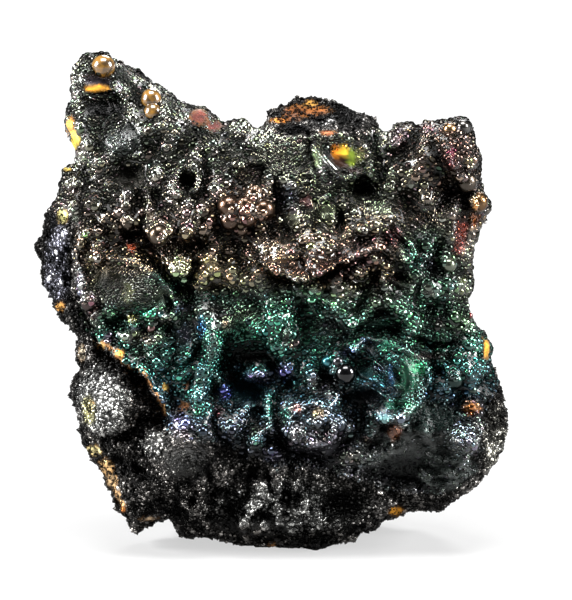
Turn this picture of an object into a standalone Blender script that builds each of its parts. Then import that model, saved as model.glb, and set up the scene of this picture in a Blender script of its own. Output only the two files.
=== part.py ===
"""Limonite specimen: a hand-sized piece of botryoidal iron oxide, grown as one solid.

The showy face is drawn in a plane of its own, in millimetres: u to the right, v up and w
towards the viewer. That plane leans back, and the foot of the specimen is cut flat, so the
piece stands on it. The origin is under the middle of the piece, and +Z is up.
"""

import math

import bmesh
import bpy
import numpy as np
from mathutils import Vector, noise

MM = 0.001
LEAN = math.radians(10)

# Driving dimensions in mm
DEPTH = 40
RIM_ROUND = 5.5
RIM_BACK = 10
BULGE = 4
FACE_HALF_WIDTH = 38
FACE_MIDDLE = 36
FACE_HALF_HEIGHT = 46
FOOT_TOP = 12
FOOT_SLOPE = 0.45
BACK_SLOPE = 1.25

# Botryoidal lumps that cover the face between its named features
CELL_SIZE = 4.2
CELL_HEIGHT = 1.3

# Relief hangs down the face as it rises, so ledges overhang
DROOP = 0.4
USUAL_RISE = 1.2

ROUGH_SIZE = 7
ROUGH_HEIGHT = 0.4
BACK_SIZE = 17
BACK_HEIGHT = 7
BACK_STEP = 2.6
BACK_LUMP_SIZE = 6
BACK_LUMP_HEIGHT = 1.5

FIRST_VOXEL = 0.8
LAST_VOXEL = 0.7
MOST_TRIANGLES = 9800

ROCK_COLOUR = (0.055, 0.047, 0.043, 1)
ROCK_ROUGHNESS = 0.42
ROCK_METALLIC = 0.55

# The edge of the specimen as (u, v), clockwise from the tip of the horn
OUTLINE = [
    (-27.2, 80.8), (-25.2, 79.8), (-22.5, 78.5), (-20.2, 76.8), (-17.8, 75.0), (-15.0, 73.4),
    (-13.9, 72.4), (-11.0, 71.9), (-8.0, 69.0), (-6.0, 69.5), (-3.4, 69.5), (-2.5, 68.4),
    (-0.6, 69.1), (0.3, 70.3), (0.2, 71.8), (3.2, 72.6), (6.0, 73.7), (8.5, 73.5), (11.5, 72.5),
    (14.2, 70.6), (17.2, 69.4), (18.3, 67.9), (20.3, 69.3), (22.9, 69.5), (23.6, 68.6),
    (25.2, 69.8), (30.5, 70.1), (31.7, 69.7), (32.6, 68.0), (33.6, 64.5), (33.5, 61.2),
    (34.1, 58.5), (35.2, 56.3), (34.3, 53.8), (33.3, 51.3), (32.1, 49.5), (31.8, 45.5),
    (32.5, 44.0), (31.6, 41.5), (33.0, 37.0), (35.4, 34.0), (35.1, 31.5), (36.8, 27.3),
    (37.5, 23.0), (37.1, 17.9), (36.2, 15.5), (33.1, 11.8), (29.1, 8.8), (27.2, 7.4),
    (21.6, 7.5), (19.5, 6.1), (17.4, 5.7), (16.9, 4.5), (14.1, 3.8), (13.4, 2.4), (8.7, 1.2),
    (7.8, 0.0), (6.7, 0.0), (5.2, 1.2), (-1.0, 1.5), (-6.2, 2.0), (-7.5, 3.2), (-11.5, 3.5),
    (-14.4, 3.1), (-15.8, 6.9), (-18.5, 5.7), (-21.8, 3.9), (-22.9, 6.5), (-24.5, 7.5),
    (-25.3, 10.4), (-26.3, 13.0), (-28.3, 15.7), (-30.2, 19.8), (-30.3, 21.5), (-31.6, 26.0),
    (-29.4, 30.1), (-30.8, 33.2), (-30.5, 35.3), (-34.2, 39.8), (-36.4, 44.0), (-36.4, 47.0),
    (-37.4, 49.3), (-35.9, 52.0), (-35.0, 56.0), (-33.2, 62.0), (-31.0, 63.2), (-33.0, 69.0),
    (-31.7, 73.5), (-31.9, 77.0), (-29.3, 80.6),
]

# Large areas of the face that stand forward or back: u, v, half width, half height, rise
AREAS = {
    "horn": (-25, 75, 9, 12, -3.0),
    "broken top ledge": (5.5, 72.0, 10, 4.5, -6.0),
    "outer slab on the left": (-35.5, 47, 5, 14, -3.5),
    "matrix at the lower left": (-27, 19, 12, 13, -2.5),
    "trough in the centre": (-4, 30, 10, 10, -3.0),
    "right flank": (33, 52, 6, 12, -2.0),
    "upper right corner": (28, 65, 6, 6, 2.0),
    "shell on the right": (18, 29, 9, 8, 2.0),
}

# Rounded lumps and hollows of the face: u, v, half width, half height, rise
LUMPS = {
    "horn dome": (-23.5, 67.0, 4.0, 4.2, 2.6),
    "horn tray": (-27.6, 75.0, 2.6, 1.0, -1.6),
    "lump by the left ledge": (-22.8, 53.5, 1.6, 2.3, 1.6),
    "hanging drop": (-17.5, 51.3, 2.2, 2.2, 2.6),
    "second drop": (-13.0, 51.3, 1.9, 1.9, 2.2),
    "lump above the drops": (-11.0, 54.8, 2.2, 2.2, 1.8),
    "grape cluster": (-4.0, 55.5, 5.8, 4.8, 3.0),
    "cracked block": (1.3, 71.2, 1.2, 1.0, 1.2),
    "lump on the right flank": (33.2, 56.8, 1.8, 1.8, 1.6),
    "left lobe": (-22.0, 42.5, 8.2, 6.2, 3.2),
    "gold lobe": (-14.5, 46.0, 2.6, 3.1, 2.0),
    "lump under the lobe": (-18.5, 34.0, 2.4, 1.6, 1.4),
    "bronze lump": (-28.5, 39.6, 1.8, 2.0, 1.3),
    "large dome": (-26.3, 24.0, 6.2, 6.6, 4.2),
    "second dome": (-14.5, 15.8, 6.6, 6.0, 3.8),
    "lump at the lower left": (-19.8, 10.0, 2.4, 2.4, 1.8),
    "cone nodule": (7.0, 21.5, 6.4, 6.4, 5.0),
    "lavender scale": (-2.0, 29.4, 2.8, 1.4, 2.2),
    "slotted nodule": (2.8, 35.2, 1.2, 2.0, 1.3),
    "lump on the right": (26.5, 42.0, 2.4, 2.4, 1.5),
    "yellowish lump": (12.5, 15.8, 2.6, 1.6, 1.5),
    "swirl": (30.4, 18.7, 3.4, 3.4, 2.2),
    "low lump at the foot": (3.0, 13.0, 2.0, 1.8, 1.5),
    "second lump at the foot": (7.5, 12.0, 2.2, 1.7, 1.5),
    "lump above the copper ledge": (6.6, 50.8, 2.2, 2.0, 1.4),
    "crater": (-13.4, 60.4, 1.5, 1.5, -4.0),
    "hollow under the horn": (-23.0, 61.0, 4.6, 2.2, -2.8),
    "hollow under the top ledge": (4.3, 69.0, 3.2, 1.0, -2.0),
    "eye bowl": (11.8, 64.3, 3.6, 2.6, -2.0),
    "shade under the ledge": (7.0, 66.4, 3.2, 0.9, -1.6),
    "pit by the eye": (17.8, 61.0, 1.5, 2.1, -2.8),
    "pit under the eye": (14.7, 57.5, 3.0, 1.6, -2.4),
    "slot by the eye": (16.8, 64.0, 0.8, 2.6, -2.2),
    "pit over the ledge": (11.5, 52.5, 1.1, 1.8, -2.2),
    "pit by the cluster": (2.3, 50.5, 1.8, 1.5, -2.4),
    "hollow at the right edge": (27.8, 58.0, 1.8, 2.7, -2.4),
    "hollow at the upper right": (24.5, 64.5, 2.2, 1.8, -2.2),
    "dish in the lobe": (-22.5, 44.0, 5.4, 2.6, -1.5),
    "hollow under the lobe": (-23.5, 37.0, 3.4, 1.0, -2.0),
    "small pit": (-16.2, 35.5, 1.3, 1.3, -2.2),
    "fan trough": (-6.0, 36.5, 2.4, 3.0, -1.6),
    "great pit": (-4.0, 26.2, 3.6, 3.4, -5.5),
    "pit beside the cone": (-1.8, 21.5, 1.6, 1.4, -2.6),
    "shell hollow": (16.0, 25.6, 3.4, 1.5, -2.6),
    "shell inside": (15.6, 29.0, 2.6, 2.8, -1.8),
    "hollow right of the shell": (27.0, 29.5, 1.6, 1.9, -2.2),
    "hollow above the shell": (27.0, 37.5, 2.1, 1.7, -2.0),
    "hollow between the domes": (-20.0, 12.9, 1.9, 1.5, -2.4),
    "second hollow between the domes": (-16.5, 11.0, 1.6, 1.2, -2.0),
    "foot pit": (-9.3, 8.5, 1.3, 1.3, -2.0),
    "dark hollow at the foot": (11.5, 8.6, 4.0, 2.2, -2.8),
}

# Ridges and grooves of the face: half width, rise, then the points they run through
LINES = {
    "right edge of the horn": (1.6, 1.6, [(-24.5, 79), (-18, 75)]),
    "lip of the horn": (1.2, 1.6, [(-30.2, 76), (-27.5, 73.3), (-24, 74.5)]),
    "ledge under the top": (1.4, 2.4, [(5, 67.4), (9, 67.6), (14, 67.2)]),
    "rim of the eye": (1.0, 1.6, [(6.3, 65.8), (7.5, 63), (9.5, 61.5), (12.4, 60.5)]),
    "fold at the upper right": (2.2, 2.4, [(25, 69), (27.5, 66), (29, 63), (30, 60)]),
    "groove at the upper right": (1.5, -2.8, [(23.4, 68), (21, 65.5), (19.5, 63)]),
    "upper fold": (1.3, 1.9, [(19, 52.5), (21, 50.5), (22.5, 48)]),
    "slot on the right": (1.1, -2.2, [(25.5, 47.5), (27, 49)]),
    "undercut on the left": (1.3, -2.6, [(-20.5, 49.0), (-16, 48.9), (-12, 49.2)]),
    "copper ledge": (1.6, 2.4, [(0.6, 45.5), (3.5, 44.9), (5.5, 45.2), (8.5, 46), (11, 46.8)]),
    "end of the copper ledge": (1.5, 2.0, [(11, 47.3), (12.5, 48.3), (16, 49.3), (18, 49.3)]),
    "undercut of the ledge": (1.2, -2.2, [(1.5, 43.3), (5, 43.4), (8.5, 44)]),
    "edge of the lobe": (1.4, 1.9, [(-29.5, 47), (-25, 47.5), (-20.5, 46.2), (-17, 43.6),
                                    (-15.6, 40)]),
    "groove round the lobe": (1.3, -2.8, [(-19, 48), (-16.2, 45.4), (-14.3, 42.2), (-13, 39.8)]),
    "slot in the gold lobe": (1.0, -2.4, [(-11.8, 46.4), (-12.6, 43)]),
    "ridge under the lobe": (1.5, 1.7, [(-22, 36), (-18.5, 37.6), (-15, 38.5)]),
    "groove on the left flank": (1.4, -2.6, [(-32, 48), (-32.3, 42)]),
    "lower groove on the flank": (1.3, -2.4, [(-31, 38), (-28.5, 35.8)]),
    "lip of the crust": (1.4, 1.9, [(-27.2, 34.8), (-24.2, 32.7), (-22.2, 30.7), (-19.5, 28.7),
                                    (-17, 24.8), (-15.5, 22.6)]),
    "groove under the crust": (1.3, -1.6, [(-28, 32.8), (-24.8, 30.7), (-21, 27.4),
                                           (-18.3, 23.6)]),
    "teal crest": (1.6, 2.8, [(-10.7, 38.8), (-9.3, 36), (-8.8, 33.5), (-10, 29.5),
                              (-11, 25)]),
    "arc beside the crest": (1.0, 1.4, [(-15, 30.3), (-13, 31.2), (-12.2, 32.5)]),
    "violet ridge": (1.1, 1.8, [(2.4, 31.3), (2.6, 27.6)]),
    "teal ridge": (1.1, 1.8, [(0.4, 26.5), (0, 22.4)]),
    "rim of the shell": (1.5, 2.4, [(13.5, 34), (16, 34.5), (19, 33.9), (22, 32.4), (24.4, 30.3),
                                    (24.9, 28), (24, 25.2), (21.5, 23.3), (18, 22.4),
                                    (15.5, 23)]),
    "inner ridge of the shell": (1.2, 1.8, [(15.5, 31.6), (18.3, 30.2), (20, 28), (20.3, 26)]),
    "ridge above the shell": (1.6, 2.0, [(13, 37), (16, 38.8), (19.5, 39.6)]),
    "groove above the shell": (1.2, -2.4, [(13, 35.9), (17, 36.3), (20.5, 35.6)]),
    "groove right of the shell": (1.1, -2.2, [(23, 34), (26, 33), (29, 32.6)]),
    "beaded ridge": (1.2, 1.6, [(18, 43.5), (18.5, 41), (20, 39.8)]),
    "hollow above the large dome": (1.6, -2.0, [(-25.5, 17.2), (-21.5, 18.4)]),
    "ledge at the lower right": (1.8, 1.9, [(15, 15), (21, 17.5), (27, 20)]),
    "lower fold": (1.2, 1.4, [(26, 14.6), (29.5, 13.2), (33, 14.2)]),
    "groove over the fold": (1.0, -1.4, [(26, 16.4), (29.5, 15), (32.5, 15.4)]),
    "rod at the foot": (1.3, 2.2, [(-1.5, 11.5), (-4.5, 5)]),
    "ridge at the foot": (1.2, 1.9, [(1, 13), (1.5, 6)]),
    "second ridge at the foot": (1.3, 1.8, [(3.5, 12), (6.5, 9.5)]),
    "ridge at the left foot": (1.2, 1.5, [(-13.5, 8.5), (-10, 5)]),
    "lip at the lower left": (1.1, 1.3, [(-21.8, 4.8), (-19, 6.5)]),
}

# Round balls that sit on the face: u, v, radius, and how far the middle is sunk, in radii
BALLS = {
    "amber bead": (-26.6, 78.3, 2.0, 0.1),
    "second amber bead": (-19.0, 73.2, 1.6, 0.2),
    "third amber bead": (-18.7, 71.0, 1.7, 0.3),
    "cluster ball": (-0.9, 55.2, 1.7, 0.3),
    "lower cluster ball": (-3.4, 53.7, 1.5, 0.3),
    "left cluster ball": (-6.0, 55.5, 1.6, 0.3),
    "upper cluster ball": (-2.7, 58.2, 1.4, 0.3),
    "far left cluster ball": (-7.0, 58.3, 1.3, 0.3),
    "corner ball": (30.8, 68.8, 1.4, 0.2),
    "brown corner ball": (28.6, 68.2, 1.2, 0.3),
    "flank ball": (31.6, 59.8, 1.8, 0.2),
    "green ball": (28.3, 46.8, 1.5, 0.3),
    "ring ball": (6.2, 51.0, 1.5, 0.4),
    "second ring ball": (8.3, 49.8, 1.3, 0.4),
    "ball under the ledge": (14.3, 44.5, 1.6, 0.3),
    "row ball": (7.2, 41.9, 1.2, 0.3),
    "second row ball": (10.6, 42.0, 1.3, 0.3),
    "third row ball": (13.0, 41.0, 1.2, 0.3),
    "black ball": (12.2, 29.8, 1.6, 0.1),
    "right ball": (29.5, 28.3, 1.9, 0.2),
    "pink bead": (-18.9, 36.5, 1.2, 0.3),
    "trough lump": (-7.0, 37.5, 1.2, 0.3),
    "ring beside the cone": (12.6, 20.5, 1.2, 0.4),
    "foot ring": (9.0, 5.3, 1.2, 0.4),
}

# Planes that the back is broken along: depth at the middle, then slope along u and along v
BREAKS = [
    (-38, 0.05, 0.02),
    (-34, -0.38, 0.10),
    (-36, 0.45, -0.05),
    (-52, 0.10, 0.52),
    (-33, 0.02, -0.28),
    (-41, -0.22, 0.34),
]
BREAK_MIDDLE = (0, 38)
BOTTOM_IGNORED = 12


def smooth_step(values):
    values = np.clip(values, 0, 1)
    return values * values * (3 - 2 * values)


def distance_to_path(places, path):
    """Distance of each place to the polyline through the path's points."""
    nearest = np.full(len(places), np.inf)
    for start, end in zip(path[:-1], path[1:]):
        start, run = np.array(start, float), np.subtract(end, start, dtype=float)
        along = np.clip((places - start) @ run / (run @ run), 0, 1)
        gap = places - start - along[:, None] * run
        nearest = np.minimum(nearest, np.hypot(gap[:, 0], gap[:, 1]))
    return nearest


def bump(places, u, v, half_width, half_height):
    """1 at the middle of an ellipse, falling smoothly to 0 at its edge."""
    reach = np.hypot((places[:, 0] - u) / half_width, (places[:, 1] - v) / half_height)
    return smooth_step(1.15 * (1 - reach))


def roughness(points, size, octaves=3):
    """Fractal noise at each point, about -1 to 1, for lumps of the given size in mm."""
    return np.array([noise.fractal(Vector(point) / size, 0.9, 2.1, octaves) for point in points])


def cells(points, size):
    """Rounded lumps of the given size that meet in creases, 1 on their tops and 0 between."""
    nearest = [noise.voronoi(Vector(point) / size)[0][0] for point in points]
    return 1 - np.clip(np.array(nearest) / 0.8, 0, 1) ** 2


def steps(values, step):
    """Values drawn together into flat treads with short risers between them."""
    whole = np.floor(values / step)
    return step * (whole + smooth_step((values / step - whole - 0.3) / 0.4))


def from_edge(places, without_foot=False):
    """Distance inwards from the outline, from its sides and top alone if the foot is left out."""
    ring = OUTLINE + OUTLINE[:1]
    if without_foot:
        ring = [(u, v - 40 if v < BOTTOM_IGNORED else v) for u, v in ring]
    return distance_to_path(places, ring)


def form_of(places):
    """Height w of the face over each (u, v) without its relief."""
    u, v = places[:, 0], places[:, 1]
    across = 1 - (u / FACE_HALF_WIDTH) ** 2
    upright = 1 - ((v - FACE_MIDDLE) / FACE_HALF_HEIGHT) ** 2
    height = BULGE * np.clip(across, 0, 1) * np.clip(upright, 0, 1)
    height -= FOOT_SLOPE * np.clip(FOOT_TOP - v, 0, None)
    for area in AREAS.values():
        height += area[-1] * bump(places, *area[:-1])
    inwards = np.clip(from_edge(places) / RIM_ROUND, 0, 1)
    return height - RIM_ROUND * (1 - np.sqrt(1 - (1 - inwards) ** 2))


def relief_of(places):
    """Rise of the lumps, ridges, pits and grooves over each (u, v)."""
    lines = np.zeros(len(places))
    lumps = np.zeros(len(places))
    for lump in LUMPS.values():
        lumps += lump[-1] * bump(places, *lump[:-1])
    for half_width, rise, path in LINES.values():
        lines += rise * smooth_step(1 - distance_to_path(places, path) / half_width)
    bare = 1 - smooth_step((np.abs(lumps) + np.abs(lines)) / 1.5)
    points = np.column_stack([places, np.zeros(len(places))])
    return lumps + lines + CELL_HEIGHT * (bare + 0.35) * (cells(points, CELL_SIZE) - 0.5)


def back_of(places):
    """Height w of the broken back over each (u, v)."""
    u, v = (places - BREAK_MIDDLE).T
    inwards = from_edge(places, without_foot=True)
    depth = -RIM_BACK - BACK_SLOPE * inwards
    for middle, slope_u, slope_v in BREAKS:
        depth = np.maximum(depth, middle + slope_u * u + slope_v * v)
    points = np.column_stack([places, np.zeros(len(places))])
    uneven = steps(BACK_HEIGHT * roughness(points, BACK_SIZE), BACK_STEP)
    uneven += BACK_LUMP_HEIGHT * cells(points, BACK_LUMP_SIZE)
    depth += uneven * smooth_step(inwards / RIM_ROUND)
    return np.clip(depth, -DEPTH, -RIM_BACK)


def points_of(rock):
    flat = np.empty(3 * len(rock.data.vertices), np.float32)
    rock.data.vertices.foreach_get("co", flat)
    return flat.reshape(-1, 3).astype(float) / MM


def set_points(rock, points):
    rock.data.vertices.foreach_set("co", (points * MM).astype(np.float32).ravel())
    rock.data.update()


def normals_of(rock):
    flat = np.empty(3 * len(rock.data.vertices), np.float32)
    rock.data.vertex_normals.foreach_get("vector", flat)
    return flat.reshape(-1, 3)


def apply_modifier(rock, name):
    bpy.context.view_layer.objects.active = rock
    bpy.ops.object.modifier_apply(modifier=name)


def remesh(rock, voxel):
    modifier = rock.modifiers.new("Remesh", "REMESH")
    modifier.mode = "VOXEL"
    modifier.voxel_size = voxel * MM
    apply_modifier(rock, modifier.name)


def make_slab():
    """The outline as a slab one depth thick, its face at w = 0."""
    mesh = bmesh.new()
    corners = [mesh.verts.new((u * MM, v * MM, -DEPTH * MM)) for u, v in OUTLINE]
    face = mesh.faces.new(corners)
    grown = bmesh.ops.extrude_face_region(mesh, geom=[face])
    lifted = [item for item in grown["geom"] if isinstance(item, bmesh.types.BMVert)]
    bmesh.ops.translate(mesh, verts=lifted, vec=(0, 0, DEPTH * MM))
    bmesh.ops.recalc_face_normals(mesh, faces=mesh.faces)
    data = bpy.data.meshes.new("limonite_specimen")
    mesh.to_mesh(data)
    mesh.free()
    rock = bpy.data.objects.new("limonite_specimen", data)
    bpy.context.collection.objects.link(rock)
    return rock


def carve_face_and_back(rock):
    """Each column of the slab is stretched to run from the back to the face."""
    points = points_of(rock)
    places = points[:, :2]
    share = np.clip((points[:, 2] + DEPTH) / DEPTH, 0, 1)
    relief = relief_of(places - (0, DROOP * USUAL_RISE)) * smooth_step(from_edge(places) / 2)
    front, back = form_of(places) + relief, back_of(places)
    points[:, 2] = back + share * (front - back)
    points[:, 1] -= DROOP * relief * smooth_step(share * 4 - 3)
    set_points(rock, points)


def add_balls(rock):
    """Half-sunk balls, joined to the rock here and fused with it by the next remesh."""
    mesh = bmesh.new()
    mesh.from_mesh(rock.data)
    for u, v, radius, sunk in BALLS.values():
        place = np.array([(u, v)], float)
        w = (form_of(place) + relief_of(place))[0] + radius * (0.5 - sunk)
        made = bmesh.ops.create_icosphere(mesh, subdivisions=3, radius=radius * MM)
        bmesh.ops.translate(mesh, verts=made["verts"], vec=Vector((u, v, w)) * MM)
    mesh.to_mesh(rock.data)
    mesh.free()


def roughen(rock):
    """Small unevenness all over, and deeper on the back, which is broken rock."""
    points, normals = points_of(rock), normals_of(rock)
    backward = smooth_step(0.5 - normals[:, 2])
    height = ROUGH_HEIGHT * (1 + 1.2 * backward)
    points += normals * (height * roughness(points, ROUGH_SIZE))[:, None]
    set_points(rock, points)


def lean_back(rock):
    """From the face's own plane to the world: the face leans back and looks along -Y."""
    u, v, w = points_of(rock).T
    y = v * math.sin(LEAN) - w * math.cos(LEAN)
    z = v * math.cos(LEAN) + w * math.sin(LEAN)
    set_points(rock, np.column_stack([u, y, z]))


def thin_out(rock):
    """Fewer triangles: flat stretches lose the most."""
    rock.data.calc_loop_triangles()
    modifier = rock.modifiers.new("Decimate", "DECIMATE")
    modifier.ratio = MOST_TRIANGLES / len(rock.data.loop_triangles)
    modifier.use_collapse_triangulate = True
    apply_modifier(rock, modifier.name)


def cut_foot(rock):
    """A flat foot at z = 0, closed with one flat face."""
    mesh = bmesh.new()
    mesh.from_mesh(rock.data)
    parts = [*mesh.verts, *mesh.edges, *mesh.faces]
    cut = bmesh.ops.bisect_plane(
        mesh, geom=parts, dist=1e-6, plane_co=(0, 0, 0), plane_no=(0, 0, -1), clear_outer=True
    )
    edges = [item for item in cut["geom_cut"] if isinstance(item, bmesh.types.BMEdge)]
    bmesh.ops.triangle_fill(mesh, use_beauty=True, edges=edges)
    bmesh.ops.recalc_face_normals(mesh, faces=mesh.faces)
    mesh.to_mesh(rock.data)
    mesh.free()


def put_over_origin(rock):
    """The middle of the box around the piece goes over the origin."""
    points = points_of(rock)
    middle = (points.min(axis=0) + points.max(axis=0)) / 2
    points[:, :2] -= middle[:2]
    set_points(rock, points)


def rock_material():
    material = bpy.data.materials.new("botryoidal limonite")
    material.use_nodes = True
    surface = material.node_tree.nodes["Principled BSDF"]
    surface.inputs["Base Color"].default_value = ROCK_COLOUR
    surface.inputs["Roughness"].default_value = ROCK_ROUGHNESS
    surface.inputs["Metallic"].default_value = ROCK_METALLIC
    return material


def make_specimen():
    for obj in list(bpy.data.objects):
        bpy.data.objects.remove(obj)
    rock = make_slab()
    remesh(rock, FIRST_VOXEL)
    carve_face_and_back(rock)
    add_balls(rock)
    remesh(rock, LAST_VOXEL)
    roughen(rock)
    lean_back(rock)
    thin_out(rock)
    cut_foot(rock)
    put_over_origin(rock)
    rock.data.materials.append(rock_material())


make_specimen()
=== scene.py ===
"""The looks of a limonite specimen: iridescent botryoidal crust over rough dull matrix.

The showy face is drawn in a plane of its own, in millimetres: u to the right, v up and w
towards the viewer. That plane leans back, as in the solid that this file dresses.
"""

import functools
import math

import bmesh
import bpy
import numpy as np
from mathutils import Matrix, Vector, noise
from mathutils.bvhtree import BVHTree


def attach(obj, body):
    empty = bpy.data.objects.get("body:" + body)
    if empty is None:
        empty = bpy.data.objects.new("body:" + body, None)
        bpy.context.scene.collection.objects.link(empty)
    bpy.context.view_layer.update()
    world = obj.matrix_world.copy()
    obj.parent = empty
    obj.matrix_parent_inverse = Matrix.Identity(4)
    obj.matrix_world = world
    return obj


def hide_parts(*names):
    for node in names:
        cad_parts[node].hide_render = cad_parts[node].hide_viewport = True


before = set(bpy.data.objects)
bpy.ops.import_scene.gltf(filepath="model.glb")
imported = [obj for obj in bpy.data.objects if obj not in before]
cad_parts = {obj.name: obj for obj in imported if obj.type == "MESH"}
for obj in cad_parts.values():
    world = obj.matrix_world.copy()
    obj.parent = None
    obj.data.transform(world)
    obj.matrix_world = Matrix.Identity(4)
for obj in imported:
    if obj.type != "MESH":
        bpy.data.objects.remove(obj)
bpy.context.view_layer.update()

bl_info = {
    "name": "Limonite specimen",
    "version": (1, 0, 0),
    "blender": (4, 5, 0),
    "location": "3D View > Sidebar > Limonite",
    "description": "Grows the rock, crust, beads and grains of a limonite specimen",
    "category": "Object",
}

MM = 0.001
NODE = "limonite_specimen"
LEAN = math.radians(10)

# Form of the body in mm, as in the solid
DEPTH = 40
RIM_ROUND = 5.5
RIM_BACK = 10
BULGE = 4
FACE_HALF_WIDTH = 38
FACE_MIDDLE = 36
FACE_HALF_HEIGHT = 46
FOOT_TOP = 12
FOOT_SLOPE = 0.45
BACK_SLOPE = 1.25
LARGE_LUMP_SIZE = 5.2
LARGE_LUMP = 0.8
LUMP_SIZE = 2.6
LUMP = 0.9
SMALL_LUMP_SIZE = 1.2
SMALL_LUMP = 0.5
CRAG_HEIGHT = 2.2
UNEVEN_SIZE = 6
UNEVEN_HEIGHT = 0.8
DROOP = 0.45
USUAL_RISE = 2.9
ROUGH_SIZE = 7
ROUGH_HEIGHT = 0.4
BACK_SIZE = 17
BACK_HEIGHT = 7
BACK_STEP = 2.6
BACK_LUMP_SIZE = 6
BACK_LUMP_HEIGHT = 1.5
BREAK_MIDDLE = (0, 38)
BOTTOM_IGNORED = 12

# Relief of the matrix, and the map that holds the face: step, lowest u and v, count each way
MATRIX_SIZE = 2.4
MATRIX_HEIGHT = 0.55
WRINKLE_SIZE = 0.9
WRINKLE_HEIGHT = 0.3
MAP_STEP = 0.2
MAP_LOW = (-42, -5)
MAP_COUNT = (421, 456)

# How strongly each part mirrors the lights, against the colours of the tables
ROCK_FILM = 0.1
BARE_FILM = 0.12
BEAD_FILM = 0.41
ROW_FILM = 0.6
GRAPE_FILM = 0.2
GRAIN_FILM = 6
GLAZED_FILM = 3
GREYED = 0.15
DIM_TINT = (0.4, 0.4, 0.4, 1)
MATRIX_COLOUR = "#181716"
MATRIX_METAL = 0.85
USUAL_COAT = 0.8

# How far down the sides the crust and the grains reach, and the share of edges kept behind
CRUST_LOW = -11
GRAINS_LOW = -12
THIN_BEHIND = 7
BACK_SHARE = 0.2

# Beads, rods, balls and grains: angles of their rings, how many, and their range of radii
BEAD_RINGS = (62, 30)
ROD_RINGS = (75, 35)
BALL_RINGS = tuple(range(176, 0, -8))
BEAD_SAMPLES = 120000
BEAD_SPACING = 0.85
BEAD_RANGE = (0.13, 0.8)
GRAPE_BEADS = 16
GRAPE_BEAD_RANGE = (0.12, 0.3)
GRAIN_COUNT = 24500
GRAIN_RADIUS = 0.2
GRAIN_RANGE = (0.1, 0.65)
BEAD_SEED, ROD_SEED, GRAPE_SEED, GRAIN_SEED = 11, 5, 31, 23

# An eight-sided grain: its corners and faces
GRAIN = (np.array([(1, 0, 0), (-1, 0, 0), (0, 1, 0), (0, -1, 0), (0, 0, 1), (0, 0, -1)], float),
         np.array([(0, 2, 4), (2, 1, 4), (1, 3, 4), (3, 0, 4),
                   (2, 0, 5), (1, 2, 5), (3, 1, 5), (0, 3, 5)]))

# Bands of v that the scattered beads are parted into, a piece for each
BEAD_PIECES = {"lower_beads": (-10, 24), "teal_beads": (24, 36), "gold_beads": (36, 50),
               "upper_beads": (50, 90)}

# Studio lights in metres and watts: place, width, height, power
LIGHTS = {
    "left light": ((-0.55, -0.10, 0.28), 0.20, 0.30, 15.6),
    "right light": ((0.55, -0.10, 0.28), 0.20, 0.30, 13),
    "top light": ((0, -0.12, 0.8), 0.5, 0.3, 15),
    "back light": ((0.1, 0.7, 0.6), 0.4, 0.3, 6),
}
LIGHTS_AIM = (0, 0, 0.04)
WORLD = 0.1
FLOOR_SIZE = 8

# The photo's frame: pixels, and where the face's own u = 0, v = 0 lies in it
PHOTO_WIDTH = 572
PHOTO_HEIGHT = 600
PHOTO_U0 = 270
PHOTO_V0 = 557
MM_PER_PIXEL = 0.16
LENS = 400
CAMERA_PLANE = -2

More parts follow.
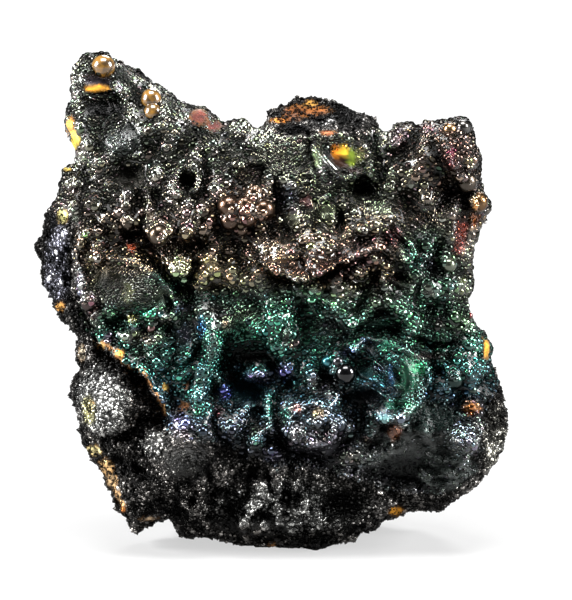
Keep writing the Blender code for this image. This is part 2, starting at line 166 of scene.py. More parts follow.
# The edge of the specimen as (u, v), clockwise from the tip of the horn
OUTLINE = [
    (-27.2, 80.8), (-26.3, 80.7), (-25.2, 79.8), (-22.5, 78.5), (-21, 77.8), (-20.2, 76.8),
    (-19, 75.5), (-17.8, 75), (-16, 73.9), (-15, 73.4), (-13.9, 72.4), (-12.3, 71.9), (-11, 71.9),
    (-9.5, 70.6), (-8, 69), (-6, 69.5), (-4.8, 69.7), (-3.4, 69.5), (-3.2, 68.7), (-2.5, 68.4),
    (-0.6, 69.1), (0.3, 70.3), (0, 71), (0.2, 71.8), (1.3, 71.8), (2.3, 72.4), (3.2, 72.6),
    (3.7, 73.3), (6, 73.7), (8.5, 73.5), (11.5, 72.5), (12.7, 71.7), (14.2, 70.6), (15.7, 70.4),
    (17.2, 69.4), (17.3, 68.5), (18.3, 67.9), (19.9, 68.4), (20.3, 69.3), (22.9, 69.5),
    (23.6, 68.6), (25.2, 69.8), (28.2, 69.9), (30.5, 70.1), (31.7, 69.7), (32.6, 68), (33, 65.5),
    (33.6, 64.5), (33.5, 61.2), (34.1, 58.5), (34.9, 57.5), (35.2, 56.3), (34.9, 55), (34.3, 53.8),
    (33.5, 52.5), (33.3, 51.3), (32.5, 50.7), (32.1, 49.5), (31.8, 48), (31.8, 45.5), (32.5, 44),
    (32.2, 42.5), (31.6, 41.5), (32.2, 39), (33, 37), (34.2, 35.5), (35.4, 34), (35.5, 32.8),
    (35.1, 31.5), (36, 28.8), (36.8, 27.3), (37.3, 25.7), (37, 24.5), (37.5, 23), (37.3, 19.5),
    (37.1, 17.9), (36.2, 15.5), (34.4, 13.6), (33.1, 11.8), (31, 10.2), (29.1, 8.8), (27.2, 7.4),
    (25.3, 7.8), (23.7, 7.7), (21.6, 7.5), (19.5, 6.1), (18.7, 6.3), (17.4, 5.7), (16.9, 4.5),
    (15.8, 4.1), (14.1, 3.8), (13.4, 2.4), (11.5, 2.1), (8.7, 1.2), (7.8, 0), (6.7, 0), (5.2, 1.2),
    (2, 1.3), (-1, 1.5), (-4, 1.9), (-5.5, 2.1), (-6.2, 2), (-7.5, 3.2), (-9.5, 3.4), (-11.5, 3.5),
    (-13, 3.1), (-14.4, 3.1), (-15.2, 5), (-15.8, 6.9), (-16.8, 6), (-18.5, 5.7), (-20, 4.9),
    (-21.1, 4), (-21.8, 3.9), (-22.3, 5), (-22.9, 6.5), (-23.8, 6.7), (-24.5, 7.5), (-25.1, 8.8),
    (-25.3, 10.4), (-26.2, 11.3), (-26.3, 13), (-27.4, 14.5), (-28.3, 15.7), (-28.8, 17.1),
    (-29.9, 18.3), (-30.2, 19.8), (-30.3, 21.5), (-31.2, 24.7), (-31.6, 26), (-31.2, 27.4),
    (-30.6, 28.6), (-29.4, 30.1), (-30.4, 31.5), (-30.8, 33.2), (-30.5, 35.3), (-31.8, 36.8),
    (-33.5, 38.3), (-34.2, 39.8), (-34.8, 41.5), (-36.4, 44), (-36.4, 47), (-37.4, 49.3),
    (-36.9, 50.5), (-35.9, 52), (-35.8, 53.5), (-35, 56), (-34, 58), (-33.2, 62), (-31, 63.2),
    (-31.3, 65.1), (-33, 69), (-32.6, 71.7), (-31.7, 73.5), (-31.9, 77), (-31, 79), (-29.9, 80),
    (-29.3, 80.6), (-28.3, 80.2),
]

# Large areas of the face that stand forward or back: u, v, half width, half height, rise
AREAS = {
    "horn": (-25, 75, 9, 12, -3),
    "broken top ledge": (6.5, 72, 11, 4.6, -6.5),
    "outer slab on the left": (-35.5, 46, 5, 14, -4),
    "matrix at the lower left": (-27, 19, 12, 13, -3),
    "trough in the centre": (-4, 29, 11, 9, -3),
    "right flank": (33, 52, 6, 12, -2),
    "upper right corner": (28, 65, 7, 7, 2.5),
    "shell on the right": (18, 29, 9, 8, 2),
    "middle of the left side": (-14, 54, 9, 5, 2),
    "copper shelf": (6, 48, 15, 6, 2.2),
    "hollow of the lower right": (22, 13, 10, 5, -2.5),
}

# Smooth swells and pits of the face: u, v, half width, half height, rise
SWELLS = {
    "horn dome": (-23.4, 66.3, 4, 3.8, 2.6),
    "horn tray": (-27.5, 75, 2.8, 1, -0.7),
    "shade under the tray": (-26.3, 71.8, 4.6, 1.9, -1.2),
    "hanging shelf": (-17.6, 52, 3.2, 2.6, 2.4),
    "grape cluster": (-3.6, 55.6, 6.4, 5, 2.6),
    "left lobe": (-22.5, 42.5, 8.6, 6.4, 3.4),
    "gold lobe": (-14.6, 45.6, 2.8, 3.6, 2.4),
    "flank on the right": (33.2, 56.6, 2.2, 2.2, 1.8),
    "large dome": (-26, 24, 7.4, 8, 4.6),
    "second dome": (-14.4, 16.2, 7.4, 7, 4.4),
    "cone nodule": (7, 20.8, 7.6, 6.4, 4.6),
    "lavender scale": (-1.9, 28.9, 3, 1.6, 2.4),
    "slotted nodule": (2.7, 35.4, 1.5, 2.4, 1.6),
    "swirl": (30.6, 18.6, 4.2, 4.2, 2.4),
    "lump under the shell": (16.4, 20.6, 2.8, 2.2, 1.4),
    "yellowish lump": (12.6, 15.8, 3, 1.9, 1.7),
    "left lump of the foot": (-19.6, 10.3, 2.8, 2.6, 1.9),
    "lump beside the fan": (-7, 37, 1.8, 1.7, 1.4),
    "teal flat": (0.8, 36.2, 5.4, 4.2, 1.2),
    "tongue of the shell": (18.6, 22.6, 3, 1.1, 1.2),
    "hollow under the horn": (-22.4, 60.6, 4.4, 3, -1.9),
    "hollow left of the crater": (-29.6, 60.2, 2.2, 1.6, -0.8),
    "hollow under the top ledge": (3.6, 68.4, 4.6, 1, -2.8),
    "eye bowl": (11.8, 64, 3.4, 2.8, 0.9),
    "shade under the ledge": (6.4, 66.6, 3.4, 0.8, -1.1),
    "hollow behind the top": (-5, 66.6, 2.6, 1.2, -1.1),
    "pit by the eye": (17.7, 61, 1.6, 2.5, -3.2),
    "pit under the eye": (14.9, 57.6, 3.2, 1.9, -3.6),
    "slot by the eye": (16.8, 64, 0.8, 2.8, -1.4),
    "pit over the ledge": (11.5, 52.6, 1.1, 2.2, -2.7),
    "pit by the cluster": (2.3, 50.3, 1.9, 1.7, -1.8),
    "pit beside the cluster": (0.9, 53.4, 0.9, 1.8, -1.2),
    "hollow at the right edge": (28, 57.6, 2, 3.6, -1.9),
    "hollow of the corner": (25.6, 64.6, 2, 2.4, -1.4),
    "hollow of the flank": (21.4, 57, 1.8, 1.2, -1.1),
    "dish in the lobe": (-24, 43.6, 5, 3, -1.1),
    "hollow under the lobe": (-24.2, 36.9, 3.2, 1, -1.6),
    "small pit": (-16.3, 35.8, 1.3, 1.2, -1.7),
    "fan trough": (-5.6, 34.6, 2.4, 2.4, -1),
    "great pit": (-3.8, 26.3, 4, 3.4, -4.3),
    "upper pit": (-6, 29.2, 1.8, 1.3, -1.8),
    "pit beside the cone": (-1.7, 21.4, 1.7, 1.4, -1.9),
    "pit under the violet beads": (3.4, 27, 1.9, 1.3, -1.9),
    "dark above the cone": (9.2, 27.6, 2.6, 1.6, -1.4),
    "gap beside the cone": (12, 24.4, 1.4, 2.4, -1.4),
    "shell hollow": (15.6, 25.6, 4.2, 2.2, -2.2),
    "shell inside": (15.8, 29.6, 3, 1.6, -1.3),
    "hollow right of the shell": (26.8, 29, 1.5, 2, -1.7),
    "hollow above the shell": (25.4, 38.6, 3, 1.3, -1.6),
    "dark green hollow": (21, 43.6, 2.4, 1.2, -1.3),
    "slot under the green ball": (26.4, 44.6, 1.8, 1, -1.1),
    "hollow between the domes": (-20.4, 13.2, 2.4, 1.4, -1.6),
    "hollow above the dome": (-21.8, 28, 2.6, 2.2, -1.2),
    "dark of the foot": (-6.2, 15.2, 3.6, 1.2, -1.7),
    "foot pit": (-9.2, 8.4, 1.4, 1.4, -1.3),
    "foot hollow": (-6.6, 7.4, 1.6, 2, -1),
    "dark hollow at the foot": (11.2, 8.4, 4.6, 3.2, -1.8),
    "dark of the right foot": (2.4, 9.6, 1.2, 2, -1.1),
    "fold hollow": (27.6, 15.4, 2.2, 1.2, -1),
    "lower fold hollow": (27.6, 11.4, 2.6, 0.8, -1),
    "hollow over the swirl": (31.4, 22, 2.2, 0.9, -1),
}

# Round lumps that meet in creases: u, v, half width, half height, rise
DOMES = [
    (-6.5, 56, 1.7, 1.8, 1.7), (-3.9, 56.2, 1.5, 1.4, 2.3), (-2.6, 58.1, 1.5, 1.5, 1.6),
    (-1, 55.3, 1.8, 1.8, 2.1), (-3.5, 54, 1.5, 1.4, 1.9), (-6.3, 53.8, 1.8, 1.5, 1.4),
    (-4.4, 52.2, 1.4, 1, 1.1), (-1.6, 52.4, 1.1, 0.9, 1.1), (-0.4, 59.2, 1.1, 1.7, 1.5),
    (-10.6, 55.2, 1.2, 1.3, 1.6), (-8.9, 58.6, 1.4, 1.5, 1.3), (-10.2, 51.2, 1.4, 1.3, 1.3),
    (-1.6, 50.2, 1.6, 1.2, 1.2), (-0.7, 47.2, 0.9, 0.9, 1), (-0.8, 43.6, 1.3, 1, 1.1),
    (-8.8, 49.4, 1.2, 1, 1.1), (-6.6, 47.9, 1.3, 0.9, 1), (-3.2, 47.6, 1.4, 1, 1),
    (-8.9, 45.2, 1.9, 1.7, 1.4), (-6.2, 44.6, 1.6, 1.9, 1.3), (-3.8, 43.8, 1.6, 1.6, 1.2),
    (-10.8, 44, 1.4, 1.6, 1.2), (5.7, 50.8, 1.7, 1.6, 1.6), (8.1, 50.9, 1.5, 1.5, 1.5),
    (3, 47.4, 1.4, 1, 0.8), (8.3, 47.6, 1.3, 1, 1), (10.6, 50.2, 1.3, 1.1, 1.2),
    (12.6, 50.9, 1.2, 1, 1.1), (14.4, 51.9, 1.6, 1.1, 1.2), (14.2, 44.5, 1.8, 1.6, 1.6),
    (10.9, 44.6, 1, 0.7, 0.8), (8.9, 44.3, 1, 0.7, 0.8), (7.2, 42, 1.4, 1.2, 1.3),
    (4.5, 42.4, 1.1, 0.9, 1), (2.2, 42.4, 1, 0.8, 0.8), (11.1, 42.1, 1.6, 1.3, 1.3),
    (13.6, 41.2, 1.3, 1, 1), (16.6, 46.9, 1.6, 1.2, 1.1), (18.6, 46, 1.3, 1, 0.9),
    (-22.7, 53.4, 1.2, 1.3, 1.8), (-22.9, 55.9, 1, 1.1, 1.7), (-24.3, 54.6, 0.9, 0.9, 1.3),
    (-9.5, 53, 0.9, 0.9, 1.3), (-11.7, 53.3, 0.9, 1, 1.2), (-22.6, 57.2, 1.5, 1.3, 1.2),
    (-19.3, 54.9, 1.3, 1.4, 1.5), (-17.6, 51.4, 1.9, 1.5, 2), (-19.4, 51.6, 1.1, 1, 1.4),
    (-15.9, 51.8, 1.1, 1.2, 1.4), (-13.1, 51.2, 1.7, 1.6, 1.9), (-15.6, 57.6, 1.5, 1.3, 1.1),
    (-28.2, 55.6, 1.6, 1.3, 1.3), (-29.3, 51.4, 1.1, 1.2, 1.2), (-27.4, 51.6, 1, 1.1, 1),
    (-26.9, 48.9, 1.2, 1.1, 1), (-30.3, 49.4, 0.9, 1.4, 1), (-26, 53.6, 1.4, 1.5, 1.1),
    (-19.2, 48.3, 1.6, 1, 1), (-16.9, 47.5, 1.3, 1.2, 1.1), (-28.8, 40.5, 1.3, 1.4, 1.4),
    (-27.5, 37.9, 1.4, 1.3, 1.4), (-25.8, 35, 1.1, 0.9, 1), (-23.4, 34.8, 1.4, 0.9, 0.9),
    (-18.9, 36.6, 1, 0.9, 1.2), (-21.3, 35.9, 1.2, 0.8, 0.9), (-18.4, 33.9, 2, 1.2, 1.2),
    (-16, 37.6, 1.6, 1, 1.2), (-13.9, 40.1, 1.3, 1, 1.1), (-16.6, 31.6, 1.6, 1, 1),
    (-17.2, 29.6, 1.4, 0.9, 1), (-14.6, 28.4, 1.7, 1.2, 1.1), (-10.8, 23.6, 1.9, 1.4, 1.4),
    (-13.6, 21.6, 1.7, 1.3, 1.2), (-6.2, 20.6, 2.4, 1.8, 1.4), (-2.1, 18.6, 1.5, 1.2, 1.3),
    (0.4, 16.4, 1.3, 0.9, 1), (-7.1, 26.4, 1.4, 1.4, 1.5), (-8.2, 28.4, 0.7, 1.1, 1.2),
    (-5.1, 30.3, 0.9, 0.7, 1), (2.5, 29.6, 1.4, 1.8, 1.3), (6.9, 28, 1.1, 1.6, 1.2),
    (4.2, 20.6, 1.4, 1.4, 1.4), (6.5, 19.4, 1, 0.9, 1.2), (10.9, 21.4, 1.4, 1.4, 1.3),
    (12.7, 20.3, 1, 0.9, 1.1), (4.2, 23.9, 1.4, 1, 1.1), (7.8, 22.9, 1.4, 1.1, 1),
    (20, 66.9, 1.8, 2.6, 1.9), (22.2, 68, 1.3, 1.5, 1.4), (20.4, 64.2, 1.3, 1.4, 1.3),
    (24.7, 67.6, 1.4, 2, 1.5), (26.8, 68.8, 1.5, 1.2, 1.5), (28.7, 68.4, 1.3, 1.4, 1.7),
    (30.9, 68.8, 1.5, 1.4, 1.7), (29.4, 66, 1.4, 1.4, 1.3), (31.7, 66.2, 1.4, 1.5, 1.5),
    (29.2, 63.2, 1.9, 1.7, 1.5), (31.9, 63.3, 1.6, 1.6, 1.6), (31.4, 59.9, 1.8, 1.7, 2),
    (33.3, 56.8, 1.6, 1.5, 1.7), (23.3, 63.2, 1.6, 1.2, 1.1), (20.5, 61.2, 1.3, 1.5, 1.1),
    (22.2, 58.8, 1.8, 1.2, 1.2), (24.8, 59.8, 1.5, 1.3, 1.1), (25.2, 56.4, 1.7, 1.3, 1.1),
    (19, 58.9, 1.4, 1.5, 1.1), (28.3, 46.8, 1.6, 1.6, 1.8), (26, 41.8, 1.9, 1.7, 1.7),
    (30.9, 43.4, 1.5, 1.6, 1.4), (28.4, 42.6, 1, 1.5, 1), (23.6, 44.6, 1.3, 0.9, 0.9),
    (31.7, 37.1, 1.5, 1.3, 1.5), (29.6, 37.9, 1.3, 1.2, 1.1), (32.2, 33.9, 1.9, 1.5, 1.6),
    (29.3, 28.3, 1.6, 1.7, 1.9), (32.2, 26.7, 1.2, 1, 1.3), (29.2, 26.3, 1, 0.7, 1.1),
    (26.8, 30.9, 1.2, 1.1, 1.2), (30.2, 31.6, 1.2, 1, 1.2), (33.4, 30.3, 1.3, 1.1, 1.2),
    (32.2, 24, 1.8, 1.1, 1.2), (19.9, 20.2, 1.4, 1.3, 1.3), (15.7, 18.8, 0.9, 0.8, 0.9),
    (18.8, 18.2, 0.7, 0.6, 0.9), (-4.6, 68.6, 2, 1.4, 1.4), (-1.7, 67.6, 1.5, 1.2, 1.4),
    (-9.3, 66.3, 1.5, 1.1, 1.1), (-10.7, 64.6, 1, 0.8, 0.9), (-4.7, 61.9, 1.2, 1, 0.9),
    (-15.8, 66.2, 1.6, 1.3, 1.1), (-18.9, 67.5, 1.4, 1.8, 1.2), (-14.2, 69.6, 1.8, 1.8, 1.2),
    (-17.9, 60.2, 1.4, 1.2, 1.1), (-27.3, 62.6, 1.8, 1.5, 1.2), (-31.4, 59.4, 1.5, 1.6, 1.1),
    (-31.6, 55.6, 1.6, 1.8, 1.2), (1.5, 13.1, 1.5, 1.4, 1.3), (4.6, 12.3, 1.7, 1.6, 1.4),
    (7.3, 12.4, 1.6, 1.5, 1.3), (11.2, 12, 1.4, 1.2, 1.1), (-7.6, 12.4, 2, 1.6, 1.3),
    (-10.6, 11.6, 1.6, 1.5, 1.2), (-4.3, 11.3, 1.2, 1.4, 1.2), (-22.8, 16.8, 2.2, 1.7, 1.4),
    (-25.3, 17.2, 1.6, 1.4, 1.2), (-18.9, 18.6, 2, 2.2, 1.2), (-23.4, 11.6, 1.7, 1.8, 1.2),
    (-17, 27.4, 1, 0.9, 0.9),
]

# Ridges and grooves of the face: half width, rise, then the points they run through
LINES = {
    "right edge of the horn": (0.8, 1.2, [(-24.3, 79), (-22, 77.1), (-20, 76), (-18.3, 75),
        (-17.2, 73), (-17, 70.8)]),
    "second line of the edge": (0.6, 0.9, [(-24.3, 78), (-21.6, 76.1), (-20.2, 74.9)]),
    "left edge of the horn": (0.7, 1, [(-31.2, 79), (-31.7, 76.5), (-31.2, 74), (-30.4, 72.4)]),
    "lip over the tray": (0.9, 0.9, [(-30.4, 76.2), (-28, 76.9), (-25.2, 76.4), (-24.3, 75)]),
    "lip under the tray": (0.8, 1, [(-30.2, 74.8), (-28.6, 73.6), (-26.4, 73.5), (-24.4, 74.6)]),
    "fold of the dome": (0.4, 0.9, [(-25, 66.2), (-24, 64.4)]),
    "second fold of the dome": (0.4, 0.9, [(-23.2, 65.8), (-22.4, 64.2)]),
    "third fold of the dome": (0.4, 0.9, [(-21.6, 66.4), (-20.6, 65)]),
    "rib of the horn": (1.5, 2, [(-24, 75), (-22.4, 72), (-20.8, 69.6), (-20, 67.6)]),
    "ledge under the top": (0.8, 1.6, [(5.4, 67.5), (9, 67.6), (12, 67.4), (16.2, 68.1)]),
    "top slab": (0.9, 1, [(3.4, 73.3), (6, 73.6), (9, 73.1), (11.6, 72.3), (14, 70.9)]),
    "crack of the top slab": (0.3, -1.1, [(0.6, 70.7), (3.2, 71.7), (6.6, 72.1), (9.4, 71.9)]),
    "lower crack of the top slab": (0.3, -1, [(4, 70.1), (6.4, 70.9), (8.8, 70.6), (11, 71)]),
    "rim of the bowl": (0.9, 1.6, [(8.4, 66.3), (11, 66.6), (14, 66.2), (15.4, 64.6)]),
    "first line of the eye": (0.45, 1.5, [(7.9, 64.6), (8.9, 62.6), (10.3, 61), (12.4, 60.5)]),
    "second line of the eye": (0.45, 1.2, [(8.7, 64.2), (9.6, 62.4), (10.8, 61.3), (12.6, 61)]),
    "strip by the eye": (0.8, 1.2, [(6.8, 65.2), (7.6, 63.2), (8.6, 61.4)]),
    "groove by the strip": (0.6, -1.1, [(6.1, 65.4), (6.5, 63.4), (7.3, 61.8)]),
    "line under the eye": (0.5, 0.9, [(12.6, 59.3), (14.4, 60), (16.4, 60.2)]),
    "lip of the crater": (0.8, 1.5, [(-15.5, 59.4), (-14.9, 57.9), (-13.3, 57), (-11.7, 57.7),
        (-11, 59.4)]),
    "ring of the crater": (0.6, 1, [(-15.4, 59.6), (-14.8, 61.1), (-13.2, 61.8), (-11.7, 61.1),
        (-11.1, 59.8)]),
    "curl on the left": (0.5, 1.2, [(-20.3, 58), (-19.4, 57.2), (-19.3, 56)]),
    "fold of the corner": (1.5, 2.2, [(25, 69), (27, 66.6), (28.6, 64), (29.6, 61)]),
    "groove of the corner": (1.3, -2, [(23.5, 68), (22.4, 66), (21, 64.4), (19.4, 63)]),
    "line of the corner": (0.5, 1.2, [(25.6, 62.9), (27.4, 61.1), (29, 59.4)]),
    "ledge under the bead": (0.6, 1.2, [(5.2, 60.5), (7, 60.6)]),
    "second ledge": (0.6, 1.1, [(5, 58.8), (6.5, 58.9)]),
    "arc by the wedge": (0.5, 1.1, [(6.9, 59.1), (7.4, 60.1), (8.4, 60.6)]),
    "groove left of the cluster": (0.5, -1.1, [(-10.2, 59.4), (-10.9, 58), (-12.2, 56.4),
        (-12.5, 54), (-12, 52.6)]),
    "groove over the cluster": (0.9, -1.3, [(-6, 60.6), (-3.6, 60.2), (-1.6, 60.2), (0.8, 57.6),
        (1.2, 54.8)]),
    "pink fold": (0.7, 1.8, [(18.7, 51.6), (19.7, 50.2), (21, 48.6), (21.5, 47.2)]),
    "green fold": (0.7, 1.6, [(20.2, 52), (21.6, 51), (22.6, 49.6), (23.3, 48)]),
    "groove in the fold": (0.5, -1, [(19.8, 51.4), (21.2, 50), (22.2, 48.2)]),
    "ridge by the fold": (0.8, 1.4, [(14.5, 52.4), (17, 50), (19.8, 48)]),
    "slot on the right": (0.9, -1.6, [(24.6, 46), (26, 47.6), (27.4, 49)]),
    "undercut on the left": (1.1, -2.4, [(-22.6, 50.7), (-19.8, 50.2), (-18.2, 49.1), (-14.4, 49.1),
        (-11, 49.3)]),
    "groove above the lobe": (0.9, -1.3, [(-26.4, 48), (-23.4, 48)]),
    "copper ledge": (0.8, 2.4, [(0.4, 46), (1.4, 44.9), (3.4, 44.5), (5, 45.1), (6.4, 44.6),
        (8.8, 45.8), (11.2, 46.8), (13.4, 47.9), (16, 49.2), (18, 49.4)]),
    "bowl of the ledge": (0.6, 1.4, [(4.6, 48.5), (6, 47.6), (6.5, 46.2), (5.4, 45.2)]),
    "undercut of the ledge": (0.9, -1.8, [(0.8, 44.1), (3.6, 43.4), (5.6, 43.5), (7.6, 44),
        (10, 45), (12, 46)]),
    "hollow row of the ledge": (0.8, -1.2, [(12.4, 43.4), (15.4, 42.6), (17.2, 44.8)]),
    "edge of the lobe": (0.8, 1.7, [(-29.2, 46.8), (-26.6, 47.6), (-23.4, 47.4), (-20.4, 46.5),
        (-17.8, 44.7), (-15.8, 42.2), (-14.9, 40)]),
    "groove round the lobe": (1.2, -2.5, [(-20, 47.4), (-17.6, 46.2), (-16, 43.9), (-14.4, 41.6),
        (-12.7, 40.3)]),
    "slot in the gold lobe": (0.9, -1.9, [(-11.8, 47), (-12.3, 45), (-12.7, 42.9)]),
    "ridge under the lobe": (0.8, 1.3, [(-21.6, 37.1), (-18.5, 37.9), (-15, 38.7)]),
    "groove on the left flank": (1.2, -1.9, [(-32, 49.6), (-32.2, 45.6), (-32.4, 41.6)]),
    "lower groove on the flank": (1.2, -1.6, [(-31.6, 39.6), (-30, 37.2), (-28.2, 35.7)]),
    "edge beside the groove": (0.6, 1.2, [(-30.8, 47.6), (-30, 44), (-29.8, 40), (-28, 36.4)]),
    "lip of the crust": (0.7, 1.9, [(-27.4, 35), (-25, 33), (-22.6, 30.8), (-20, 29.4),
        (-18.6, 26.8), (-17, 24.4), (-16, 22)]),
    "groove under the crust": (1.3, -1.7, [(-28, 32.9), (-25.2, 31.1), (-22.2, 29), (-19.8, 26.4),
        (-18.2, 23.4), (-17.6, 21.6)]),
    "teal crest": (1.9, 2.6, [(-10.6, 38.8), (-9.6, 36.6), (-9, 34), (-9.6, 30.4), (-11, 26)]),
    "arc beside the crest": (0.6, 1.4, [(-15, 30.3), (-13.3, 31), (-12.2, 32.4)]),
    "groove beside the arc": (0.8, -1, [(-14.6, 29.4), (-12.4, 30.4), (-11.4, 32.2)]),
    "teal ridge": (0.9, 2, [(0.6, 26.2), (-0.3, 24.2), (0.2, 21.6)]),
    "teal ridge of the pit": (0.8, 1.6, [(0.2, 20.8), (-1, 19.6), (-3, 18)]),
    "lip of the pit": (0.6, 1.4, [(-4, 29.2), (-2.4, 27.7), (-0.8, 26.6), (-0.5, 25.4)]),
    "outer rim of the shell": (0.9, 1.6, [(12.6, 33.4), (15.4, 34.6), (18, 34.5), (20, 33.6),
        (22.4, 32.5), (24.4, 31.2), (25.2, 28.6), (24.9, 26.8), (23.8, 24.6), (22, 22.9),
        (19.8, 21.9), (17.4, 22.2)]),
    "band of the shell": (2.6, 1.5, [(17.4, 33), (20.4, 31.6), (22.4, 29.6), (22.8, 27.2),
        (21.6, 25)]),
    "first arc of the shell": (0.3, 0.8, [(16.4, 32.6), (18.8, 31.4), (20.6, 29.8), (21.4, 28),
        (21.2, 26.4)]),
    "second arc of the shell": (0.3, 0.8, [(16.6, 33.6), (19.4, 32.4), (21.7, 30.7), (22.7, 28.4),
        (22.3, 26.2), (20.8, 24.6)]),
    "third arc of the shell": (0.3, 0.8, [(18.6, 34), (21.4, 32.4), (23.5, 30.6), (24.2, 28.4),
        (23.6, 26), (21.8, 24)]),
    "inner ridge of the shell": (0.5, 1.5, [(13.6, 33.3), (15.2, 33), (16.2, 31.6), (17.6, 30.6),
        (19, 29.4), (19.7, 27.8), (20.6, 26.4)]),
    "thin ridge of the shell": (0.4, 1.5, [(14.3, 28.4), (16.2, 27.7), (18, 26.5), (19.9, 25.3)]),
    "floor of the shell": (0.6, 1.2, [(15.8, 23), (17.8, 23.3), (19.2, 23.9), (19.2, 25)]),
    "ridge above the shell": (0.9, 2, [(13, 36.9), (15.2, 38.7), (17.6, 40.2), (19.6, 39.4),
        (21.4, 38.9)]),
    "teal ledge": (0.9, 1.4, [(15, 36.8), (18, 37.6), (21, 37.9)]),
    "groove above the shell": (0.9, -2, [(13.8, 35.7), (17, 35.7), (20, 35.2)]),
    "groove right of the shell": (0.8, -1.8, [(21.2, 33.8), (23.6, 32.9), (26, 31.8),
        (28.8, 32.8)]),
    "beaded ridge": (0.7, 1.4, [(18.2, 43.4), (18.4, 41.6), (19.4, 40)]),
    "beaded row": (0.6, 1.2, [(17, 44.4), (19.6, 43.2), (22.2, 42.2)]),
    "groove above the large dome": (1.6, -1.6, [(-29, 31.4), (-26, 30.6)]),
    "groove between the domes": (1.1, -1.8, [(-26, 19), (-23, 18.9), (-21.2, 19.6), (-20.2, 22)]),
    "groove round the cone": (0.8, -1.3, [(0.9, 22), (1.2, 19.4), (1.6, 17.4), (4, 15.6), (8, 15)]),
    "ring of the cone": (0.6, 1.4, [(3, 22.4), (2.7, 20.4), (4.2, 18.9), (7, 18.2), (9.4, 19),
        (10, 21.4), (9, 24), (6.8, 25), (4.6, 24.8)]),
    "step of the lower right": (1.1, 1.6, [(15, 15), (18.4, 16.6), (22, 18), (25.6, 19.8)]),
    "groove of the lower right": (0.7, -0.8, [(14.6, 17.6), (18.4, 17.6), (22, 17.2)]),
    "crevice of the folds": (0.5, -1.6, [(24.9, 13.7), (26.2, 12.9), (27.5, 13.5), (28.8, 13),
        (30, 13.8)]),
    "lower fold": (0.7, 1.8, [(24, 13.2), (24.9, 12), (26.2, 11.6), (27.6, 12.2), (29.4, 11.4),
        (31.6, 11.4), (33.2, 12.6)]),
    "lower crevice": (0.5, -1.8, [(26.4, 10.8), (27.8, 11.2), (29.6, 11.3)]),
    "step under the slope": (0.7, -1.4, [(19.6, 17.8), (22, 18), (24.4, 18.7), (26, 19.9)]),
    "second fold": (0.5, 1.2, [(25.2, 15.4), (27, 14.6), (29.4, 14.2), (31.6, 15.2)]),
    "third fold": (0.6, 1.2, [(28, 20.2), (29.8, 20.8), (31.8, 20), (32.8, 18), (31.8, 16.2)]),
    "inner fold": (0.5, 1, [(28.6, 18.6), (30.2, 19.2), (31.4, 18.2), (30.8, 16.8)]),
    "sparkling fold": (0.6, 1.4, [(30.6, 22.6), (32.6, 22.4), (33.6, 21), (33.8, 19.6)]),
    "rod at the foot": (1, 2.4, [(-1.6, 11.4), (-4.4, 4.8)]),
    "ridge at the foot": (0.9, 1.9, [(1, 11.6), (1.6, 5.4)]),
    "second ridge at the foot": (0.8, 1.8, [(3.9, 11), (6.5, 9.3)]),
    "third ridge at the foot": (0.8, 1.4, [(5.4, 8.4), (6.6, 4.6)]),
    "ridge at the left foot": (0.8, 1.7, [(-13.4, 8.4), (-11.6, 6.6), (-10, 5.2)]),
    "ring at the foot": (0.45, 1.4, [(7.9, 5), (8.4, 4.2), (9.6, 4)]),
    "lip at the lower left": (0.8, 1.4, [(-21.8, 4.6), (-20, 5.6), (-18.4, 6.3), (-16.4, 6.6)]),
}

# Planes that the back is broken along: depth at the middle, then slope along u and along v
BREAKS = [
    (-38, 0.05, 0.02),
    (-34, -0.38, 0.1),
    (-36, 0.45, -0.05),
    (-52, 0.1, 0.52),
    (-33, 0.02, -0.28),
    (-41, -0.22, 0.34),
]

# Round holes: u, v, radius, depth
HOLES = {
    "crater": (-13.2, 58.9, 1.5, -3.4),
    "small hole of the pit": (-9.2, 8.6, 1, -1.6),
}

# Quiet parts of the face, without the usual lumps: u, v, half width, half height
CALM = {
    "eye": (11.8, 63.4, 4.6, 3.8),
    "slab of the top ledge": (5.6, 71.4, 4.6, 1.8),
    "horn dome": (-23.4, 66.4, 3.4, 3.2),
    "hollow under the horn": (-22.2, 60.4, 3.4, 2.4),
    "tray": (-27.5, 75.2, 3, 1.4),
    "rows left of the eye": (3, 63.6, 3.8, 3.2),
    "olive plate": (-4, 63.4, 2.4, 1.2),
    "lobe": (-22.4, 43, 6.6, 4.6),
    "large dome": (-26, 24.2, 5.2, 6),
    "second dome": (-14.2, 15.8, 5.2, 5.2),
    "shell": (18.4, 28.6, 6.4, 5.8),
    "teal ledge": (17.6, 37.4, 3.8, 1.5),
    "black middle": (8.8, 36.4, 2.6, 1.8),
    "facet": (-13.5, 35.4, 2, 3),
    "crest": (-9.6, 34, 1.8, 5),
    "fan": (-4, 37.6, 3.4, 3.4),
    "apron of the cone": (6.8, 17, 6, 2.4),
    "lower right": (21.6, 15, 6, 4),
    "folds": (29.6, 14.8, 4.2, 3.8),
    "green slope": (26.6, 22.6, 3.6, 2.6),
    "dark hollow at the foot": (11, 8.2, 3.8, 3),
    "pit under the eye": (14.9, 57.6, 2.6, 1.6),
    "slotted nodule": (2.7, 35.4, 1.2, 2),
    "dark band": (-3.4, 31.8, 3.4, 1),
}

# Colour of the crust up the face: v, then the colour of its film there
BANDS = [
    (0, "#3e3e3c"), (12, "#424648"), (17, "#4a5258"), (22, "#46606e"), (27, "#2f7480"),
    (31, "#2a867a"), (36, "#3a8a70"), (40, "#54886c"), (43, "#7c8468"), (46, "#967f58"),
    (52, "#8c7660"), (58, "#807868"), (64, "#787a68"), (82, "#747868"),
]

